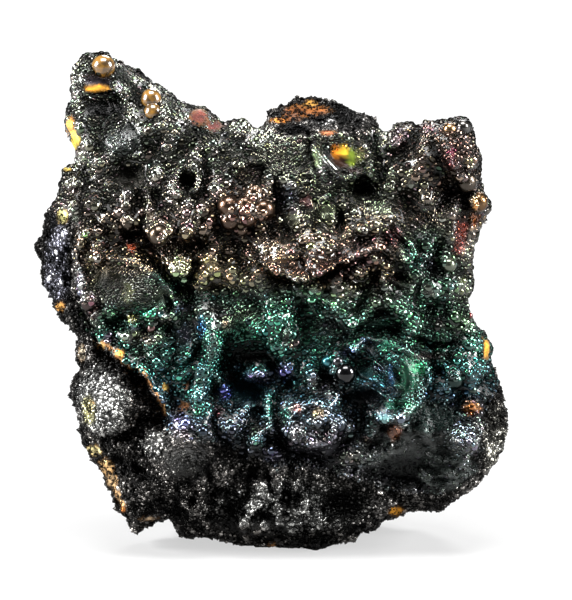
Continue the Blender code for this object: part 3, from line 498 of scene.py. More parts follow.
# Patches of other colour on the face: u, v, half width, half height, colour, strength
PATCHES = {
    "brown of the corner": (27, 63, 8, 7, "#806048", 0.8),
    "teal of the groove": (-16.4, 44.2, 4.6, 1.4, "#2f9c80", 0.8),
    "grey of the right edge": (35, 19, 3.4, 8, "#7c7c78", 0.9),
    "dark of the horn": (-23.6, 66.4, 4, 3.6, "#46584c", 0.9),
    "olive of the upper right": (12, 60, 12, 9, "#7c8460", 0.5),
    "emerald of the middle": (1, 38.4, 11, 4.4, "#269a76", 0.7),
    "teal of the right side": (26.5, 46.5, 7, 6.5, "#3a8068", 0.8),
    "copper of the cluster": (-4, 55.6, 6.5, 5, "#9a6e50", 0.9),
    "copper of the ledge": (8, 46.5, 9, 2.8, "#8c5a46", 0.9),
    "copper beside the ledge": (-2.6, 49.6, 4, 3.4, "#8c7664", 0.7),
    "copper right of the ledge": (15, 48.6, 4.6, 3.2, "#8c6662", 0.7),
    "gold left of the centre": (-8.4, 45, 4.6, 3.4, "#a09060", 0.7),
    "green edge of the gold": (-9, 41.6, 5, 1.2, "#3a8c72", 0.9),
    "dark under the gold": (-9.4, 39.6, 3.6, 1.4, "#4c3a40", 0.8),
    "pink of the corner": (29, 63.4, 2, 2.6, "#8c3c44", 0.8),
    "pink of the top right": (30.4, 66, 4, 3.2, "#946c58", 0.8),
    "pink of the top": (25.6, 68.6, 2.4, 1.2, "#8c5460", 0.8),
    "pink of the lobe": (21, 67, 2.2, 2.8, "#8c6468", 0.8),
    "tan ball": (28.7, 68.4, 1.4, 1.5, "#c09a6c", 0.9),
    "grey ball": (30.9, 68.8, 1.5, 1.4, "#b0aca8", 0.8),
    "brown ball": (31.5, 59.9, 2, 1.9, "#8a7a68", 0.8),
    "tan of the corner": (31.6, 63, 1.8, 1.6, "#a08464", 0.8),
    "red of the flank": (30.4, 51.2, 1.2, 3.2, "#d0503c", 1),
    "tan of the flank": (31.6, 53.4, 0.9, 3.2, "#a88458", 0.8),
    "gold of the flank": (33.4, 56.6, 1.5, 1.4, "#c08a48", 0.9),
    "orange of the flank": (33, 53.8, 1, 1, "#c07838", 0.9),
    "slate of the flank": (34.2, 55.2, 0.9, 0.9, "#50485c", 0.8),
    "green of the ridges": (13, 60, 7, 4, "#6f8060", 0.6),
    "green spot": (27, 61.6, 1, 0.8, "#2c6c50", 0.9),
    "silver rows": (2.6, 63.6, 4.4, 3.6, "#868c74", 0.8),
    "olive plate": (-4, 63.4, 2.6, 1.2, "#8c8a70", 0.8),
    "cream beads": (-3.4, 61.4, 2.4, 1.2, "#b8a08a", 0.8),
    "white fan": (3.4, 54, 1.8, 1.7, "#c8d0ac", 0.9),
    "green fan": (9, 55, 2.4, 2.4, "#8c9a72", 0.9),
    "blue grey beads": (2.8, 57.6, 2.2, 2.6, "#747c90", 0.8),
    "right fan": (17.4, 56, 2, 1.6, "#8ca080", 0.8),
    "pink fold": (19.6, 51.2, 1.6, 1.8, "#a45c64", 0.9),
    "green fold": (22.4, 49, 1.8, 2, "#6aa684", 0.9),
    "teal of the fold": (23.2, 47, 2, 2, "#2f8c72", 0.9),
    "green at the right": (24.6, 50.6, 3.4, 2.6, "#3a7864", 0.7),
    "purple slot": (25.6, 46.8, 1.8, 1.8, "#3c3450", 0.8),
    "green ball": (28.3, 46.8, 1.7, 1.7, "#6a8c70", 0.8),
    "green of the ball": (27.1, 47.2, 0.6, 0.9, "#3cb860", 0.9),
    "dark of the right ball": (29.3, 28.2, 1.7, 1.7, "#2c4c40", 0.9),
    "mint beads": (27, 42.8, 1.4, 1.8, "#6cb898", 0.9),
    "cream lump": (25.6, 42.2, 1.2, 1.2, "#a8a08c", 0.8),
    "teal of the right edge": (29.6, 43.4, 0.9, 0.9, "#66b8ac", 0.9),
    "olive of the right edge": (31, 42.6, 1.5, 2.6, "#74784c", 0.8),
    "right green": (26, 37, 7, 5, "#3f7c60", 0.8),
    "green of the right edge": (30.6, 37.4, 2.2, 2.6, "#5c8a50", 0.8),
    "olive of the lobe": (-23, 43, 7.5, 4.6, "#4c4c40", 0.9),
    "yellow of the lobe": (-22.7, 42.4, 0.9, 1.4, "#9a9a4c", 0.9),
    "green under the lobe": (-25.2, 38.8, 2, 1.2, "#3f8a5c", 0.9),
    "teal under the lobe": (-19.6, 39, 2.2, 0.8, "#3ce0b0", 1),
    "yellow under the lobe": (-21.9, 38.3, 1, 0.6, "#c0b048", 0.9),
    "blue under the lobe": (-21.4, 36.7, 0.9, 0.5, "#36507c", 0.9),
    "pink of the left edge": (-28.4, 39.4, 1.8, 3, "#a07074", 0.8),
    "magenta lump": (-25.6, 34.9, 1.2, 1, "#70406a", 0.9),
    "lilac of the flank": (-30.4, 43.6, 1, 4, "#9690a8", 0.8),
    "lilac of the left": (-34.2, 52.9, 0.9, 0.9, "#a8a0b8", 0.9),
    "cream of the left": (-31.4, 54.8, 1.3, 2.4, "#a4a89c", 0.7),
    "yellow green lump": (-29.3, 51.3, 0.9, 0.9, "#9aa070", 0.8),
    "gold lobe": (-14.4, 46, 2.2, 2.6, "#a8a878", 0.9),
    "mint of the lobe": (-15, 43.3, 1.2, 1.4, "#52c89c", 0.9),
    "green of the groove": (-17.6, 45.2, 1.2, 1.2, "#2f6a5c", 0.8),
    "bronze under the lobe": (-20.5, 35.2, 4, 1.4, "#93765c", 0.7),
    "cream ridge": (-16.6, 37.9, 2, 0.9, "#a0a48a", 0.8),
    "green slope of the lip": (-20.6, 32.4, 3.2, 1.6, "#4e6a48", 0.7),
    "violet facet": (-13.5, 35.6, 2.2, 3, "#4a4258", 0.9),
    "lavender above it": (-13.9, 39.9, 1.6, 1, "#66628c", 0.8),
    "maroon by the crest": (-11.9, 37.4, 0.7, 1.6, "#4c2c3c", 0.8),
    "bright teal of the crest": (-9, 34.6, 1.2, 3.4, "#62cca8", 1),
    "blue of the crest": (-10.9, 36.8, 0.7, 2, "#2a86c8", 1),
    "teal of the left": (-12, 29, 4.5, 4.5, "#2f9486", 0.8),
    "bronze trough lump": (-7.2, 37.4, 1.5, 1.3, "#a89878", 0.9),
    "olive of the fan": (-3.6, 38.8, 3.4, 2.2, "#6a7450", 0.7),
    "teal flat": (0.6, 36.2, 5, 3.2, "#34967a", 0.8),
    "brown slot": (2.6, 35.3, 0.9, 1.6, "#5c5450", 0.9),
    "pink dot": (3.8, 34.2, 0.5, 0.6, "#c09a98", 0.9),
    "violet dark band": (-3.2, 31.9, 4.4, 1.2, "#463c46", 0.9),
    "lavender scale": (-1.9, 28.7, 2.6, 1.2, "#857eae", 1),
    "violet ridge": (2.4, 29.8, 1.5, 1.6, "#8478d8", 0.9),
    "blue violet spot": (-7.2, 26.4, 1.2, 1.2, "#5a5cd8", 1),
    "red in the pit": (-6.2, 28.8, 0.9, 0.9, "#5c2428", 0.8),
    "mint in the pit": (-8.2, 28.4, 0.6, 1, "#8cd0bc", 0.9),
    "blue tip": (-5.2, 30.4, 0.8, 0.6, "#7aa0d0", 0.9),
    "teal streak": (7, 31.6, 0.6, 1.4, "#3cc0a8", 0.9),
    "black of the middle": (9.5, 37, 3.4, 2.4, "#3e3e44", 0.9),
    "dark above the cone": (9.5, 27.6, 4, 3, "#54505a", 0.8),
    "white above the cone": (6.9, 28, 1, 1.6, "#9a9aa0", 0.7),
    "blue of the shell": (15.4, 34.2, 1.6, 0.8, "#566c94", 0.9),
    "blue left of the shell": (12.4, 32.8, 2.2, 0.9, "#485888", 0.9),
    "teal of the shell rim": (18.4, 33.8, 1.5, 0.8, "#50b08c", 1),
    "dark in the shell": (16.4, 32.6, 1.6, 0.9, "#3a4058", 0.8),
    "blue inside the shell": (19.4, 28.6, 0.7, 2.6, "#5c86a8", 0.9),
    "lilac inside the shell": (17.6, 30.4, 1.2, 0.8, "#8890b0", 0.8),
    "green of the shell": (22.4, 29, 2.6, 4.4, "#5a8c74", 0.9),
    "bright spot of the shell": (23.8, 30.5, 1.1, 0.9, "#3cd090", 1),
    "mint of the shell": (21.2, 24.5, 2.2, 0.9, "#70e0b0", 1),
    "green foot of the shell": (22.6, 23.6, 2.2, 1, "#68a88c", 0.9),
    "teal tongue": (18.2, 22.4, 1.8, 0.8, "#5c9898", 0.9),
    "dark shell hollow": (15.3, 26, 3.2, 2.6, "#3c3a40", 0.9),
    "teal ridge": (0.1, 24.2, 1.3, 2.4, "#3cb09c", 0.9),
    "mint lump": (2.5, 23, 0.9, 1.2, "#52c0a8", 0.9),
    "teal grey ridge": (-1.9, 18.7, 1.5, 1.1, "#5cacac", 0.8),
    "violet spot": (0.6, 16.4, 1.5, 1.1, "#7a72a8", 0.8),
    "lavender at the lower left": (-14.2, 22, 1.8, 1.8, "#7c78b0", 0.8),
    "rose at the lower left": (-14.6, 19.4, 2, 1.4, "#8c7a80", 0.8),
    "teal at the lower left": (-11, 23.7, 2.2, 1.2, "#4cb8a4", 0.9),
    "red pink spot": (-8.2, 23.3, 0.8, 1, "#985058", 0.9),
    "slate by the pit": (-6.2, 20.6, 2.6, 1.9, "#5c6c84", 0.8),
    "olive by the pit": (-2.4, 20.7, 1.1, 0.9, "#4c5428", 0.8),
    "grey of the cone": (7.5, 18, 6.5, 4, "#7c7a84", 0.9),
    "ochre of the cone": (7.9, 23.1, 1.1, 0.9, "#a88a54", 0.9),
    "dark red of the cone": (7.2, 24.2, 0.9, 0.4, "#60201a", 0.9),
    "red beads of the cone": (4.2, 23.9, 1.2, 0.9, "#a04a44", 0.9),
    "yellow of the lower lump": (12.6, 15.9, 2.2, 1.3, "#74725c", 0.8),
    "teal grey of the lower right": (16.6, 20.6, 2.6, 1.6, "#4c7470", 0.8),
    "slope of the lower right": (25, 21, 6, 4, "#4a5e58", 0.8),
    "orange spot": (19.8, 20.2, 1.3, 1.2, "#b06048", 0.9),
    "small orange spot": (15.7, 18.8, 0.9, 0.7, "#a06c50", 0.8),
    "right ochre spot": (32.2, 23.9, 1.5, 0.9, "#b07038", 1),
    "gold of the right spot": (31.4, 24.2, 0.8, 0.5, "#c0a040", 0.9),
    "dark red grooves": (25.6, 32.2, 3.8, 0.8, "#582422", 0.9),
    "dark red pit": (27, 37.4, 1, 1.2, "#4c2822", 0.9),
    "dark red by the ridge": (19.8, 44.4, 0.9, 0.7, "#542824", 0.9),
    "eye orange": (10.3, 64.4, 1.2, 1.4, "#e09a3c", 1),
    "eye green": (12.9, 64, 1.4, 1.6, "#98a848", 1),
    "eye brown": (11.2, 62.4, 1.6, 0.8, "#6a5c48", 0.8),
    "eye rim": (14.4, 65.6, 0.8, 1.2, "#a08a80", 0.7),
    "pink under the eye": (13.4, 61.6, 1.2, 0.6, "#9a8078", 0.8),
    "eye strip": (7.6, 63.2, 0.6, 1.6, "#c8dcac", 1),
    "lines of the eye": (9.8, 62.2, 2.4, 2.2, "#c8ccc0", 1),
    "red wedge": (5.9, 56.9, 0.9, 0.9, "#a0605a", 0.9),
    "orange beads": (-21.8, 49.6, 0.9, 0.7, "#d8704a", 1),
    "smooth green strip": (16.4, 37, 2.6, 0.8, "#4e7a6c", 0.9),
    "teal of the ledge": (18.2, 38.2, 2.8, 0.9, "#3c8c74", 0.8),
    "dark slate block": (1.5, 71.3, 1.6, 0.8, "#3c4a54", 0.9),
    "blue of the top hollow": (3.6, 69.3, 1, 0.5, "#3c3c68", 0.8),
    "teal of the top hollow": (6.3, 69.3, 1.2, 0.5, "#2c6464", 0.8),
}

# Ochre on the face: u, v, half width, half height, colour
OCHRES = {
    "broken ledge": (6, 71.6, 3.8, 1.2, "#985a24"),
    "left of the broken ledge": (3.6, 71, 1.6, 1.3, "#884e20"),
    "left end of the ledge": (1.6, 69.9, 1.7, 0.5, "#a8682c"),
    "yellow of the ledge": (6.6, 72.7, 1.5, 0.5, "#d09840"),
    "under the ledge": (9.3, 67.7, 1.2, 0.4, "#70402a"),
    "wedge": (-11.2, 70.4, 1.6, 1.3, "#6a342a"),
    "point of the wedge": (-8.9, 69, 1.3, 0.7, "#602c26"),
    "horn tray": (-27.6, 74.9, 2.1, 0.75, "#e8a22c"),
    "left edge": (-32.1, 69, 0.9, 1.3, "#dc9848"),
    "yellow of the left edge": (-31.3, 66.6, 1.1, 1.6, "#dcc04c"),
    "dot of the left edge": (-32.3, 62.3, 0.8, 0.6, "#d8c05c"),
    "pale yellow": (-33.1, 54.4, 0.8, 1.3, "#d8d088"),
    "flank": (-33.7, 40.1, 0.8, 0.9, "#dca050"),
    "crust dot": (-26.9, 33.8, 0.7, 0.6, "#c8a86c"),
    "second crust dot": (-24, 32.4, 0.8, 0.8, "#dc9c48"),
    "lower crust dot": (-16.6, 27.3, 0.5, 0.7, "#a88c48"),
    "pale crust dot": (-16.5, 23.9, 0.5, 0.5, "#d0a468"),
    "orange crust dot": (-13.6, 24.1, 0.8, 0.6, "#c8875c"),
    "small crust dot": (-13.2, 27.4, 0.4, 0.4, "#a07058"),
    "lower left edge": (-28.2, 17, 1.4, 0.9, "#d8c890"),
    "lower left wedge": (-26.3, 14.4, 1.2, 1.5, "#c09a68"),
    "lower left dot": (-25.3, 12, 0.9, 1.3, "#c4a478"),
    "toe": (-23.4, 7.9, 0.5, 0.6, "#c87c3c"),
    "cream toe": (-19.4, 6, 1.6, 0.4, "#a08a70"),
    "cream of the left edge": (-30.1, 32.6, 0.5, 1.6, "#a89c88"),
    "right edge": (34.6, 33.4, 0.7, 2, "#dca034"),
    "bottom edge": (20.2, 7.2, 1.4, 0.9, "#e09828"),
    "bottom dot": (0.3, 1.9, 0.7, 0.5, "#c89058"),
    "streak of the large dome": (-28.6, 23.8, 0.4, 1.2, "#6c6a4c"),
}
OCHRE_LINES = {
    "line of the crust": (0.16, "#a87c54", [(-27.2, 34.8), (-25.4, 33.4), (-22.6, 30.6),
        (-20, 29.5), (-18.8, 27.4), (-17.2, 24.7), (-16.7, 22.6)]),
    "line of the toe": (0.45, "#b4946c", [(-25.6, 12.6), (-24.4, 10.4), (-23.5, 8.4)]),
}

# Where the crust ends and the dull matrix begins, as a polygon round the crust
CRUST_EDGE = [
    (-36, 84), (-36, 56), (-31, 54), (-30.6, 50), (-30.8, 44), (-30, 38), (-27.4, 34.9),
    (-24.2, 32.2), (-22.2, 30.3), (-19.9, 29.2), (-18.7, 27), (-16.8, 22.8), (-16.6, 20.4),
    (-13, 19.2), (-9, 18.6), (-5, 17), (0, 15), (8, 14.4), (13, 13.2), (17, 11.6), (21, 10.4),
    (26, 10.2), (30, 11.4), (32.6, 14), (33.6, 17), (33.8, 21), (34.6, 25), (36, 27.5), (40, 29),
    (40, 84), (19, 84), (18, 69), (15, 67.6), (10, 66.8), (5, 67), (1.5, 67.6), (-0.6, 69.6),
    (-2, 72), (-6, 84),
]

# Smooth patches where the crust has no beads: u, v, half width, half height
SMOOTH = {
    "eye": (11.8, 63.8, 3, 2.4),
    "eye strip": (7.5, 63.6, 0.7, 1.8),
    "hollow under the horn": (-22.4, 60.6, 3.2, 2.6),
    "tray": (-27.6, 75.6, 2.8, 1.4),
    "dish": (-25.4, 44.6, 3.6, 2.2),
    "lower dish": (-17.6, 41.6, 2, 2),
    "violet facet": (-13.6, 35.4, 1.5, 2.6),
    "grey plate": (2.3, 47.5, 1.5, 0.9),
    "pit under the eye": (14.9, 57.6, 2.6, 1.5),
    "pit over the ledge": (11.5, 52.5, 0.8, 1.8),
    "pit by the cluster": (2.3, 50.3, 1.5, 1.3),
    "great pit": (-3.8, 26.3, 3.2, 2.8),
    "black middle": (8.8, 36.2, 1.6, 1.2),
    "teal tongue": (18.2, 22.6, 2, 0.8),
    "band of the shell": (22.4, 28.8, 1.9, 3.4),
    "fan of the lobe": (-21.2, 43, 2.6, 3.2),
    "smooth green strip": (16.8, 37.2, 3.4, 1),
    "crater": (-13.2, 60.6, 1.5, 1.5),
    "shell hollow": (15, 26, 3.2, 2),
    "shell inside": (15.6, 29.8, 1.6, 1.2),
    "red wedge": (5.9, 56.9, 0.9, 0.9),
    "slotted nodule": (2.5, 35.4, 0.8, 1.7),
    "apron of the cone": (7.5, 17.4, 5.6, 1.6),
    "curl": (-19.2, 54.6, 0.9, 0.9),
    "undercut": (-17, 49.4, 3.6, 0.5),
    "white fan": (3.4, 54, 1.6, 1.4),
    "green fan": (9, 55, 2, 1.8),
    "right fan": (17.2, 55.6, 1.6, 1.6),
    "dark band": (-3.4, 31.8, 2.6, 0.8),
    "dark green hollow": (21, 43.6, 1.8, 0.8),
}

# Single smooth balls: u, v, radius, how far the middle is sunk in radii, colour or height
BALLS = {
    "black": (12, 29.4, 1.7, 0.05, "#161618"),
    "blue": (9.2, 31.3, 1, 0.2, "#4fa8b4"),
    "dark": (10.8, 31.3, 0.9, 0.3, "#4a4a50"),
    "corner": (30.8, 68.7, 1.2, 0.3, "#605c58"),
    "tan": (28.7, 68.3, 1.1, 0.3, "#a8845c"),
    "ring by the shell": (32.3, 26.7, 0.8, 0.3, "#3c544a"),
    "dark red": (31.9, 38.6, 0.6, 0.3, "#7c3430"),
    "pink bead": (-18.9, 36.6, 0.8, 0.3, "#b08884"),
    "green": (28.5, 46.7, 1.2, 0.3, "#7c8470"),
}
AMBER_BEADS = {
    "top": (-26.7, 78.5, 1.9, 0.25, 1),
    "right": (-19, 73.1, 1.65, 0.3, 1.15),
    "lower right": (-18.7, 71, 1.5, 0.3, 1.1),
}

# Fans of fine rods: middle of the fan, nearest and farthest rod, first and last angle,
# number of rods side by side, length of a rod
FANS = {
    "white fan": ((7.5, 57.5), (2.6, 6.2), (200, 246), 15, 1.3),
    "green fan": ((6, 59.5), (2.6, 6.6), (280, 322), 15, 1.2),
    "right fan": ((15.6, 53.2), (1.4, 4.4), (20, 110), 18, 1),
    "rows left of the eye": ((-8, 73), (9, 15.6), (305, 332), 26, 0.9),
    "lower rows": ((12, 68), (9.6, 12.6), (206, 232), 26, 0.8),
    "lobe": ((-27, 42.5), (4.6, 9.4), (-16, 44), 16, 1.1),
    "centre fan": ((-7.6, 33.6), (2.4, 7.6), (18, 88), 24, 0.9),
    "flank fan": ((26, 51), (2.2, 4.6), (60, 130), 14, 0.8),
    "shell fan": ((17, 29), (5.4, 7.8), (-50, 50), 40, 0.8),
}

# Films that stay bright from the front: u, v, half width, half height, colour, raggedness
GLAZES = {
    "slope of the lower right": (22.6, 17.6, 8.4, 5, "#262a28", 0.8),
    "folds of the lower right": (28.6, 13.4, 5.6, 4.2, "#3c423f", 0.8),
    "green of the slope": (25.4, 22.6, 5, 2.6, "#1e2e2a", 0.7),
    "eye": (11.8, 63.8, 3.4, 2.8, "#0e0e0a", 0),
    "eye crescent": (9.2, 64.2, 0.7, 1.5, "#080a0b", 0.1),
    "eye olive": (14.4, 64.2, 0.8, 1.6, "#62623c", 0.2),
    "eye brown": (11.6, 62.9, 1.8, 0.9, "#241610", 0.2),
    "eye orange": (10.6, 64.8, 1, 1.4, "#d88426", 0.4),
    "eye yellow": (11.8, 65, 0.8, 1.1, "#c8a030", 0.1),
    "eye lime": (13, 64, 0.7, 1.5, "#627322", 0.4),
    "under the eye": (13.6, 61.6, 1.1, 0.6, "#4c3c38", 0.4),
    "eye strip": (6.9, 64.4, 0.4, 0.9, "#546444", 0.9),
    "foot of the eye strip": (7.7, 62.9, 0.4, 1, "#6c7a54", 0.9),
    "lobe": (-22.4, 42.2, 1.2, 2.2, "#26281a", 0.8),
    "red wedge": (5.9, 56.9, 0.9, 0.9, "#5c3c3a", 0.3),
    "pale left": (-31.6, 54.2, 0.9, 1.2, "#54584e", 0.8),
    "red of the flank": (30.6, 50.8, 0.9, 2.6, "#561a10", 1.4),
    "upper red of the flank": (31, 52.4, 0.8, 1.2, "#702410", 1.2),
    "orange of the flank": (32.6, 53.8, 0.7, 1.2, "#8c4a18", 1),
    "gold of the flank": (32.8, 56.2, 0.6, 0.8, "#6c4818", 1),
    "orange spot": (19.8, 20.2, 1.3, 1.2, "#50301f", 0.8),
    "right spot": (32.2, 23.9, 1.7, 1.1, "#6c4420", 0.7),
    "orange beads": (-21.8, 49.6, 0.8, 0.5, "#a04420", 0.8),
    "magenta of the corner": (28.9, 63.8, 0.6, 1.6, "#34101a", 1.2),
    "tray": (-27.7, 76.3, 2.4, 0.8, "#4c464e", 0.2),
    "rim of the tray": (-24.2, 75.4, 0.5, 1, "#5c585a", 0.2),
    # A near-black glaze painted as the shadow under the tray of the horn.
    "painted shadow of the horn": (-26.6, 71.8, 3.8, 1.4, "#0b0b0c", 0.3),
    "glass of the dome": (-25.4, 66.6, 0.7, 2, "#1c211e", 0.8),
    "dome": (-22.6, 66.4, 2.6, 2.6, "#0f1411", 0.6),
    "green of the shell": (22.4, 28.8, 2.2, 4.2, "#0f3022", 1.2),
    "foot of the shell": (20.8, 24.5, 2.8, 1, "#1f5040", 1),
    "spot of the shell": (23.6, 30.3, 1.3, 1, "#1f7048", 1.2),
    "blue of the shell": (19.3, 28.8, 0.6, 2.4, "#152f42", 0.9),
    "green of the rim": (18.6, 33.6, 1.4, 0.6, "#123c2e", 1),
    "crest": (-9.1, 34.8, 1, 3.2, "#0a241e", 1.4),
    "foot of the crest": (-10.6, 29, 1.6, 2.4, "#0f2c29", 1.2),
}

# Rows of beads along rims and ridges: radius, brightness, then the points they run through
ROWS = {
    "outer line of the eye": (0.15, 2.6, [(8, 64.2), (9.2, 62.5), (10.8, 61.2), (12.2, 60.4)]),
    "inner line of the eye": (0.14, 2.3, [(8.4, 64.6), (9.6, 62.8), (11.2, 61.5), (12.4, 60.8)]),
    "lid of the eye": (0.22, 1.2, [(6.8, 65.9), (8.4, 66.4), (10, 66.3), (12.6, 66.3), (14.6, 66)]),
    "line beside the eye": (0.2, 1.2, [(13.8, 59.9), (15, 60.1), (16.4, 60.3)]),
    "strip by the eye": (0.2, 1, [(6.4, 65.2), (6.9, 63.8), (7.8, 62.4), (8.6, 61.6)]),
    "ring of the crater": (0.2, 2.6, [(-11.3, 60.2), (-11.9, 61.6), (-13.2, 62.2), (-14.5, 61.6),
        (-15.1, 60.2), (-14.5, 58.8), (-13.2, 58.2), (-11.9, 58.8), (-11.3, 60.2)]),
    "lip of the crater": (0.26, 1.2, [(-15.8, 59.4), (-15, 58), (-13.4, 57.4), (-11.8, 57.9)]),
    "rim of the ledge": (0.5, 0.6, [(0.2, 46.2), (1.4, 44.9), (3.4, 44.4), (5, 45), (6.4, 44.5),
        (8.8, 45.7), (11.2, 46.7), (13.4, 47.8), (16, 49.1)]),
    "second rim of the ledge": (0.4, 0.5, [(2.2, 45.9), (4, 45.6), (6.8, 45.7), (9.4, 46.8),
        (12, 47.9), (14.4, 49)]),
    "balls under the ledge": (0.6, 0.7, [(2, 42.4), (4.6, 42.4), (7.2, 42.1), (9.6, 42),
        (12.2, 41.5), (14, 41.2)]),
    "bowl of the ledge": (0.34, 0.6, [(4.6, 48.6), (6, 47.8), (6.6, 46.4), (5.6, 45.4)]),
    "lip of the tray": (0.34, 1.3, [(-29.8, 74.3), (-28.6, 73.5), (-27, 73.2), (-25.6, 73.6),
        (-24.8, 74.4)]),
    "right edge of the horn": (0.24, 1.5, [(-24.2, 79), (-22.4, 77.8), (-20.8, 76.6), (-18.9, 75.4),
        (-17.6, 73.6), (-17.1, 71.6)]),
    "inner edge of the horn": (0.2, 1, [(-24, 78.1), (-22, 76.8), (-20.6, 75.6)]),
    "left edge of the horn": (0.3, 1.2, [(-30.9, 79.2), (-31.4, 77), (-31.1, 74.6), (-30.3, 72.6)]),
    "beads of the dome": (0.22, 1.8, [(-26.6, 69.4), (-26.9, 67.6), (-26.3, 65.7), (-25, 64.3),
        (-23.2, 63.5), (-21.2, 63.9), (-19.8, 65.4)]),
    "swirl": (0.26, 1.3, [(27.7, 18), (28, 19.3), (29.1, 20.1), (30.6, 20.1), (31.7, 19.2),
        (33.6, 18.8)]),
    "inner swirl": (0.22, 0.7, [(28.9, 17.2), (29.6, 18.5), (30.9, 18.5), (31.4, 17.2),
        (30.8, 16.2)]),
    "sparkling fold": (0.3, 1.7, [(33, 22.4), (33.5, 21.4), (34, 20.4), (34.6, 19.6)]),
    "white line of the shell": (0.17, 4, [(13.2, 28.3), (15.4, 27.6), (17.2, 26.6), (18.8, 25.4),
        (19.9, 24.7)]),
    "second line of the shell": (0.15, 1.4, [(14.4, 31.2), (16.2, 29.9), (17.8, 28.6), (19.2, 27.2),
        (20.2, 25.8)]),
    "third line of the shell": (0.13, 1.2, [(15, 29.6), (16.8, 28.4), (18.4, 27), (19.6, 25.6)]),
    "floor of the shell": (0.19, 2.2, [(15.4, 23.2), (16.6, 23.6), (17.6, 23.2), (18.8, 24.1)]),
    "edge of the shell": (0.17, 1.8, [(13.6, 33.3), (15.2, 33), (16.3, 31.7), (17.8, 30.6),
        (19, 29.4), (19.8, 27.9), (20.4, 26.6)]),
    "rim of the shell": (0.2, 0.6, [(12.8, 33.6), (15.4, 34.7), (18, 34.7), (20.2, 33.8),
        (22.6, 32.6), (24.5, 31.2)]),
    "lip of the pit": (0.26, 1.1, [(-4.2, 29.4), (-2.6, 27.9), (-0.9, 26.8), (-0.5, 25.4)]),
    "teal ridge": (0.3, 0.9, [(0.6, 26), (-0.2, 24.3), (0.2, 22)]),
    "ring of the cone": (0.4, 0.8, [(3, 22.4), (2.8, 20.5), (4.2, 19), (7, 18.4), (9.3, 19.2),
        (9.8, 21.4)]),
    "edge of the lobe": (0.24, 0.8, [(-26.4, 47.8), (-23.4, 47.6), (-20.4, 46.7), (-17.8, 44.9),
        (-15.8, 42.4)]),
    "teal line of the lobe": (0.24, 1.4, [(-20.4, 46.6), (-18.4, 45.5), (-16.4, 44), (-14.4, 42.5),
        (-11.8, 41.2)]),
    "glints of the folds": (0.24, 2.6, [(31.2, 14.8), (32.4, 13.8), (33.6, 13.6)]),
    "rim of the folds": (0.2, 2.6, [(24.9, 13.4), (26, 14), (27.8, 13.2), (29.4, 13.8)]),
    "upper rim of the folds": (0.2, 2.4, [(25, 15.6), (26.6, 14.9), (28.2, 14.8), (29.6, 14.3),
        (31.4, 15)]),
    "lower rim of the folds": (0.18, 1, [(25, 12.3), (26.4, 11.9), (27.6, 12.4), (29.4, 11.7),
        (31.6, 11.8)]),
    "beaded row": (0.42, 0.8, [(17, 44.6), (19.6, 43.4), (22.2, 42.4)]),
    "pink fold": (0.26, 1, [(18.7, 51.8), (19.8, 50.4), (21.1, 48.8), (21.6, 47.4)]),
    "green fold": (0.26, 1.1, [(20.4, 52.2), (21.8, 51.2), (22.8, 49.8), (23.4, 48.2)]),
    "fold of the corner": (0.42, 0.8, [(25.2, 69), (27.1, 66.6), (28.6, 64), (29.7, 61.4)]),
    "arc by the wedge": (0.2, 1.2, [(6.9, 59.2), (7.4, 60.1), (8.3, 60.6)]),
    "ledges by the wedge": (0.2, 1.2, [(4.7, 58.9), (6.4, 59)]),
    "left undercut": (0.34, 0.9, [(-18.8, 50.6), (-17.4, 50.2), (-15.8, 50.7)]),
}

# Finely wrinkled parts of the crust with few beads: u, v, half width, half height
WRINKLED = {
    "slope of the lower right": (22.6, 17.6, 8.4, 5),
    "folds": (28.4, 13, 5.4, 3.4),
    "green of the slope": (25.6, 22.4, 4.4, 2.4),
}

# Where the named lumps are smooth balls: u, v, half width, half height
CLUSTERS = {
    "grape cluster": (-3.4, 55.6, 5, 5),
    "left of the cluster": (-10.6, 54.2, 1.6, 2),
    "nodules of the left": (-23, 54.6, 1.8, 2.4),
    "hanging shelf": (-17.4, 51.6, 1.4, 1.2),
    "corner balls": (31, 60.6, 2.6, 3.4),
    "top corner": (29.8, 68.4, 2.4, 1.4),
    "edge of the flank": (33.2, 56.8, 1.2, 1.4),
    "cone": (7, 21, 5, 4),
    "pink of the left": (-28.2, 39.2, 1.8, 3),
    "ball of the right": (29.3, 28.2, 1.2, 1.2),
    "row under the lobe": (-19.6, 36, 2.6, 1.6),
}

# How large the beads are: u, v, half width, half height, size against the usual
BEAD_SIZES = {
    "ledge": (8, 46.6, 10, 4, 1.8),
    "under the ledge": (9, 42.6, 8, 2.4, 1.7),
    "cluster": (-3.6, 55.6, 6, 5.6, 1.5),
    "right of the cluster": (1.8, 59.6, 2.6, 3, 1.4),
    "gold": (-8.4, 45.4, 4.6, 4, 1.6),
    "left of the gold": (-12, 54, 6, 6, 1.35),
    "left side": (-24, 54, 6, 6, 1.4),
    "corner": (30, 65, 5, 6, 1.6),
    "corner slope": (24, 62, 4, 6, 1.35),
    "right green": (28, 44, 5, 6, 1.4),
    "right edge": (31, 36, 3, 5, 1.4),
    "under the lobe": (-24, 35, 5, 3, 1.5),
    "fan": (-4.6, 35.4, 4, 4, 0.8),
    "crest": (-9.4, 33, 2.4, 6, 0.75),
    "shell": (19, 28.6, 7, 6.4, 0.7),
    "lobe": (-22.5, 43, 8, 5, 0.65),
    "horn": (-25, 74, 8, 7, 0.9),
    "horn dome": (-23.4, 66.3, 3.6, 3.4, 0.8),
    "eye ground": (9.6, 62, 7, 5, 0.72),
    "rows": (2.8, 63.6, 4.4, 4, 0.75),
    "cone": (7, 20, 7, 5.4, 1.3),
    "lower right": (27, 14, 11, 7, 0.8),
    "violet": (-3.6, 29, 5, 4, 0.85),
}

